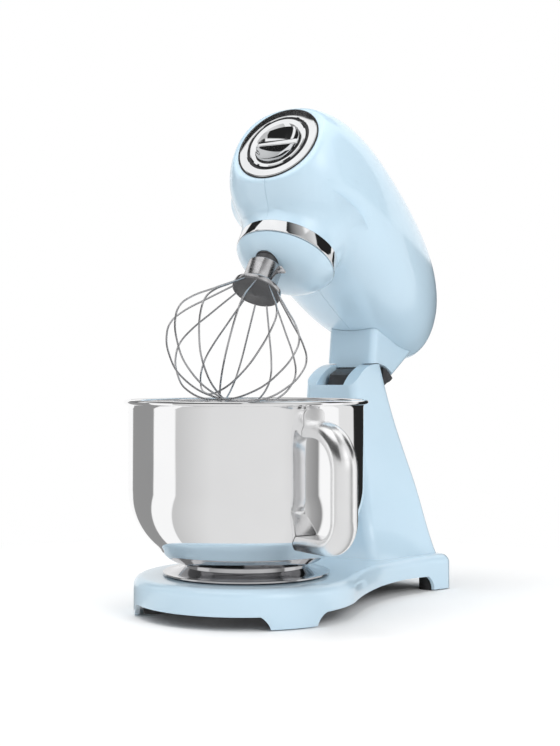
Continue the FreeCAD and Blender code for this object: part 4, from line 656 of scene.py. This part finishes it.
def make_collar():
    """Dark wiper ring on the tool shaft, with a groove round it."""
    low, high = working_box("shaft_collar")
    bottom, top = low.z, high.z
    outer, groove = COLLAR_RADIUS, COLLAR_RADIUS - 0.7
    section = [
        (SHAFT_BORE, bottom), (outer - 0.8, bottom), (outer, bottom + 1), (outer, top - 2.4),
        (groove, top - 2.1), (groove, top - 1.6), (outer, top - 1.3), (outer, top),
        (SHAFT_BORE, top), (SHAFT_BORE, bottom),
    ]
    piece = turn("shaft_collar_finished", section, steps=72)
    return fit(carry(piece, RAISE, ON_TOOL), "shaft_collar")


def make_whisk_disc():
    """Dark domed disc under the hub, where the wires come out."""
    low, high = working_box("whisk_disc")
    edge, rim = 23.6, high.z - 1.2
    section = [(0, high.z), (edge, high.z), (edge, rim)] + arc((edge, rim), (0, low.z), 78, 8)
    piece = turn("whisk_disc_finished", section, steps=96)
    return fit(carry(piece, RAISE, ON_TOOL), "whisk_disc", "grey_moulding")


WIRE = 0.9
LOOPS = 6
LOOP_GAP = 2.07
HALF_WIDTH = 67.0
# One side of a loop: how far out, as a share of its half width, and how far down, as a share of its depth.
LOOP_SIDE = [
    (0.335, 0), (0.62, 0.18), (0.89, 0.36), (0.987, 0.47), (0.985, 0.58), (0.84, 0.76), (0.56, 0.915),
]


def make_loop(start, lowest, turned):
    """One round wire from the disc down to its lowest point and up again, turned about the shaft."""
    deep = start - lowest
    side = [Vector((HALF_WIDTH * out, 0, start - deep * down)) for out, down in LOOP_SIDE]
    points = side + [Vector((0, 0, lowest))] + [Vector((-p.x, 0, p.z)) for p in reversed(side)]
    deselect_objects()
    bpy.ops.curve.primitive_bezier_curve_add()
    loop = bpy.context.object
    loop.data.dimensions = "3D"
    loop.data.resolution_u = 8
    loop.data.bevel_depth = WIRE * MM
    loop.data.bevel_resolution = 3
    loop.data.use_fill_caps = True
    spline = loop.data.splines[0]
    spline.bezier_points.add(len(points) - 2)
    spin = Matrix.Rotation(turned, 3, "Z")
    for knot, point in zip(spline.bezier_points, points):
        knot.co = spin @ point * MM
        knot.handle_left_type = knot.handle_right_type = "AUTO"
    choose(loop)
    bpy.ops.object.convert(target="MESH")
    return bpy.context.object


def make_whisk_wires():
    """Wire loops crossing below, each a little over the one before."""
    start = working_box("whisk_disc")[1].z - 0.8
    tip = working_box("whisk_wires")[0].z + WIRE
    loops = [make_loop(start, tip + LOOP_GAP * k, math.pi / LOOPS * k) for k in range(LOOPS)]
    choose(*loops)
    bpy.ops.object.join()
    whisk = loops[0]
    whisk.name = "whisk_wires_finished"
    shade(whisk, 60)
    return fit(carry(whisk, RAISE, ON_TOOL), "whisk_wires")


make_drive_ring()
make_planetary_disc()
make_whisk_hub()
make_collar()
make_whisk_disc()
make_whisk_wires()
refined("whisk_pin", 30)


# ---------------------------------------------------------------------------- nose

# The disc is drawn narrower than its node so that a dark ring of the seal shows round it: painted shade for
# the gap between disc and head.
SHADE_RING = 1.1
GROOVE = 0.5
ON_NOSE = moved(0, 0, working_place("hub_spin").z) @ Matrix.Rotation(math.pi / 2, 4, "X")
DISC_LOW, DISC_HIGH = working_box("hub_bezel")
DISC_FACE = -DISC_LOW.y - 0.4
DISC_RADIUS = DISC_HIGH.x - SHADE_RING


def make_nose_disc():
    """Flat chrome disc round the hub cap with a rounded edge."""
    back, round_edge = -DISC_HIGH.y, 1.0
    flat = DISC_RADIUS - round_edge
    inner = working_box("hub_seal")[1].x + GROOVE
    section = [(inner, back), (inner, DISC_FACE - 0.5), (inner + 0.5, DISC_FACE), (flat, DISC_FACE)]
    section += arc((flat, DISC_FACE), (DISC_RADIUS, DISC_FACE - round_edge), -round_edge, 4)
    section += [(DISC_RADIUS, back), (inner, back)]
    piece = turn("hub_bezel_finished", section, steps=128, smooth=35)
    return fit(carry(piece, RAISE, ON_NOSE), "hub_bezel")


def make_seal():
    """Rubber ring with a lip in the groove round the cap, and an outer dark ring round the disc's edge that
    is painted shade for the gap between the disc and the head.
    """
    high = working_box("hub_seal")[1]
    back, web = -high.y, -high.y + 0.3
    bore, inner_lip = working_box("hub_cap")[1].x + 0.3 - GROOVE, high.x + GROOVE - 0.1
    # The ring from just outside the disc's edge outwards is dark rubber standing in for the shade in the gap
    # round the disc: painted shade.
    shade_ring_inner, edge = DISC_RADIUS + 0.1, DISC_HIGH.x + 0.2
    section = [
        (bore, back), (edge, back), (edge, DISC_FACE - 0.6), (shade_ring_inner, DISC_FACE - 0.6), (shade_ring_inner, web),
        (inner_lip, web), (inner_lip, DISC_FACE - 1.6), (bore, DISC_FACE - 1.6), (bore, back),
    ]
    piece = turn("hub_seal_finished", section, steps=128)
    return fit(carry(piece, RAISE, ON_NOSE), "hub_seal")


def make_grip_bar(face):
    """Plain bar across the dish, rounded along its front edges; it is bare."""
    length, height, depth, behind = 45, 6.2, 10.4, 5.4
    deselect_objects()
    bpy.ops.mesh.primitive_cube_add(
        size=1, location=(0, 0, (face - behind) * MM), scale=(length * MM, height * MM, depth * MM)
    )
    bar = bpy.context.object
    bpy.ops.object.transform_apply()
    pick(bar, "EDGE", lambda p: p.z > face - 1)
    edit(bar)
    bpy.ops.mesh.bevel(offset=1.1 * MM, segments=4, affect="EDGES")
    done()
    shade(bar, 35)
    return bar


def make_hub_cap():
    """Cap with a bright rim and a deep dish with a grip bar across it; its plug goes into the nose."""
    low, high = working_box("hub_cap")
    radius, face, back = high.x - GROOVE, -low.y, -high.y
    dish, plug, plug_bore = 24.2, 17.94, 14.94
    shoulder, deep = face - 6.0, face - 10.6
    section = [(0, deep)] + arc((0, deep), (dish - 1.0, face - 1.8), 34, 14)
    section += [(dish, face - 0.3), (dish + 0.9, face), (radius - 1, face), (radius, face - 0.9)]
    section += [(radius, shoulder), (plug, shoulder), (plug, back), (plug_bore, back)]
    section += [(plug_bore, deep - 2), (0, deep - 2)]
    piece = turn("hub_cap_finished", section, steps=112, smooth=35)
    choose(piece, make_grip_bar(face))
    bpy.ops.object.join()
    return fit(carry(piece, RAISE, ON_NOSE), "hub_cap")


make_nose_disc()
make_seal()
make_hub_cap()


# ---------------------------------------------------------------------------- studio

CAMERA_PLACE = (0.71829, -1.10886, 0.22432)
CAMERA_TURN = 31.562
LENS, SENSOR = 67.78, 36

# Places and sizes of the lamps in metres, all turned to the middle of the mixer, and their power in watts.
LAMP_AIM = Vector((0.0, 0.05, 0.25))
LAMPS = [
    ("key", (2.1, -0.6, 1.5), 1.2, 21),
    ("fill", (-1.7, -1.2, 1.8), 1.4, 5),
    ("top", (-0.3, -0.1, 2.2), 1.6, 27),
]

# Fields of the room that shiny surfaces see: (bearing in degrees from the +X side, brightness). The room
# is a sphere of 1 m radius, and its fields change from low to middle to top at the heights below.
LOW_PANELS = [
    (-180, 0.30), (-153, 0.30), (-152, 1.0), (-125, 1.0), (-124, 0.58), (-88, 0.76), (-25, 0.78),
    (-14, 0.73), (-7, 0.62), (0, 0.40), (12, 0.26), (13, 1.0), (38, 1.0), (39, 0.80), (65, 0.80),
    (66, 0.02), (100, 0.02), (101, 1.0), (165, 1.0), (166, 0.30), (180, 0.30),
]
MIDDLE_PANELS = [
    (-180, 0.02), (-176, 0.02), (-175, 1.0), (-162, 1.0), (-160, 0.02), (-62, 0.02), (-60, 0.6), (0, 0.5),
    (21, 0.8), (22, 0.02), (58, 0.02), (59, 1.0), (114, 1.0), (116, 0.7), (138, 0.7), (140, 1.0),
    (159, 1.0), (160, 0.02), (180, 0.02),
]
TOP_PANELS = [
    (-180, 0.02), (-177, 0.02), (-176, 1.0), (-53, 1.0), (-51, 0.02), (-42, 0.05), (-3, 0.5), (4, 1.0),
    (70, 1.0), (72, 0.02), (180, 0.02),
]
LOW_TO_MIDDLE = (0.41, 0.43)
MIDDLE_TO_TOP = (0.83, 0.85)

# The floor is lit and shadowed to the first distance from the middle, and plain white from the second.
FLOOR_LIT, FLOOR_WHITE = 0.27, 0.60
WORLD_LIGHT = 0.55


def add_camera():
    """Level camera in front of the mixer, on its left."""
    bpy.ops.object.camera_add(location=CAMERA_PLACE, rotation=(math.pi / 2, 0, math.radians(CAMERA_TURN)))
    camera = bpy.context.object
    camera.data.lens = LENS
    camera.data.sensor_width = SENSOR
    bpy.context.scene.camera = camera


def add_lamp(name, place, size, power):
    """Square soft lamp."""
    bpy.ops.object.light_add(type="AREA", location=place)
    lamp = bpy.context.object
    lamp.name = name
    lamp.data.shape = "RECTANGLE"
    lamp.data.size = lamp.data.size_y = size
    lamp.data.energy = power
    lamp.rotation_euler = (LAMP_AIM - Vector(place)).to_track_quat("-Z", "Y").to_euler()


def new_surface(name):
    """An empty material: its node tree and the socket that its surface goes to."""
    surface = bpy.data.materials.new(name)
    surface.use_nodes = True
    tree = surface.node_tree
    tree.nodes.clear()
    output = tree.nodes.new("ShaderNodeOutputMaterial")
    return surface, tree, output.inputs["Surface"]


def worked_out(tree, operation, first, second):
    """Result of a sum on two values."""
    step = tree.nodes.new("ShaderNodeMath")
    step.operation = operation
    tree.links.new(first, step.inputs[0])
    tree.links.new(second, step.inputs[1])
    return step.outputs["Value"]


def mixed_shader(tree, share, first, second):
    """Shader that passes from the first to the second as the share goes from 0 to 1."""
    mix = tree.nodes.new("ShaderNodeMixShader")
    tree.links.new(share, mix.inputs["Fac"])
    tree.links.new(first, mix.inputs[1])
    tree.links.new(second, mix.inputs[2])
    return mix.outputs["Shader"]


def mixed_colour(tree, value, band, first, second):
    """Colour that passes from the first to the second as a value crosses the band."""
    mix = tree.nodes.new("ShaderNodeMix")
    mix.data_type = "RGBA"
    tree.links.new(rescaled(tree, value, *band), mix.inputs["Factor"])
    tree.links.new(first, mix.inputs[6])
    tree.links.new(second, mix.inputs[7])
    return mix.outputs[2]


def place_on(tree):
    """Place on the piece, its height, and its bearing about the middle as a share of the full turn."""
    place = tree.nodes.new("ShaderNodeTexCoord").outputs["Object"]
    axes = tree.nodes.new("ShaderNodeSeparateXYZ")
    tree.links.new(place, axes.inputs["Vector"])
    bearing = worked_out(tree, "ARCTAN2", axes.outputs["Y"], axes.outputs["X"])
    return place, axes.outputs["Z"], rescaled(tree, bearing, -math.pi, math.pi)


def panels(tree, share, stops):
    """Brightness by bearing, from stops of (degrees, brightness)."""
    ramp = tree.nodes.new("ShaderNodeValToRGB")
    band = ramp.color_ramp
    while len(band.elements) < len(stops):
        band.elements.new(0.5)
    for element, (bearing, level) in zip(band.elements, stops):
        element.position = (bearing + 180) / 360
        element.color = (level, level, level, 1)
    tree.links.new(share, ramp.inputs["Fac"])
    return ramp.outputs["Color"]


def add_floor():
    """Pale floor: lit near the mixer and plain white further out; shiny metal sees the panels in it."""
    deselect_objects()
    bpy.ops.mesh.primitive_plane_add(size=12)
    floor = bpy.context.object
    floor.name = "floor"
    surface, tree, output = new_surface("white_floor")
    paper = tree.nodes.new("ShaderNodeBsdfDiffuse")
    paper.inputs["Color"].default_value = (0.97, 0.97, 0.97, 1)
    white = tree.nodes.new("ShaderNodeEmission")
    mirrored = tree.nodes.new("ShaderNodeEmission")
    rays = tree.nodes.new("ShaderNodeLightPath")
    place, _, share = place_on(tree)
    distance = tree.nodes.new("ShaderNodeVectorMath")
    distance.operation = "LENGTH"
    tree.links.new(place, distance.inputs[0])
    far = rescaled(tree, distance.outputs["Value"], FLOOR_LIT, FLOOR_WHITE)
    plain = worked_out(tree, "MULTIPLY", rays.outputs["Is Camera Ray"], far)
    seen = mixed_shader(tree, plain, paper.outputs["BSDF"], white.outputs["Emission"])
    tree.links.new(panels(tree, share, LOW_PANELS), mirrored.inputs["Color"])
    both = mixed_shader(tree, rays.outputs["Is Glossy Ray"], seen, mirrored.outputs["Emission"])
    tree.links.new(both, output)
    floor.data.materials.append(surface)


def add_room():
    """Room that only the shiny surfaces see: white panels with grey gaps and black cards between them."""
    deselect_objects()
    bpy.ops.mesh.primitive_uv_sphere_add(segments=96, ring_count=48, radius=1.0)
    room = bpy.context.object
    room.name = "surround"
    surface, tree, output = new_surface("studio_panels")
    glow = tree.nodes.new("ShaderNodeEmission")
    _, height, share = place_on(tree)
    low, middle, top = (panels(tree, share, stops) for stops in (LOW_PANELS, MIDDLE_PANELS, TOP_PANELS))
    seen = mixed_colour(tree, height, LOW_TO_MIDDLE, low, middle)
    seen = mixed_colour(tree, height, MIDDLE_TO_TOP, seen, top)
    tree.links.new(seen, glow.inputs["Color"])
    tree.links.new(glow.outputs["Emission"], output)
    room.data.materials.append(surface)
    for kind in ("camera", "diffuse", "shadow", "transmission", "volume_scatter"):
        setattr(room, "visible_" + kind, False)


def add_world():
    """White world: full where it is seen or mirrored, softer where it lights the mixer."""
    world = bpy.data.worlds.new("studio")
    bpy.context.scene.world = world
    world.use_nodes = True
    tree = world.node_tree
    background = tree.nodes["Background"]
    background.inputs["Color"].default_value = (1, 1, 1, 1)
    rays = tree.nodes.new("ShaderNodeLightPath")
    seen = worked_out(tree, "MAXIMUM", rays.outputs["Is Camera Ray"], rays.outputs["Is Glossy Ray"])
    tree.links.new(rescaled(tree, seen, 0, 1, WORLD_LIGHT, 1), background.inputs["Strength"])


add_camera()
add_floor()
add_world()
for lamp_facts in LAMPS:
    add_lamp(*lamp_facts)
add_room()

bpy.context.scene.view_settings.view_transform = "Standard"
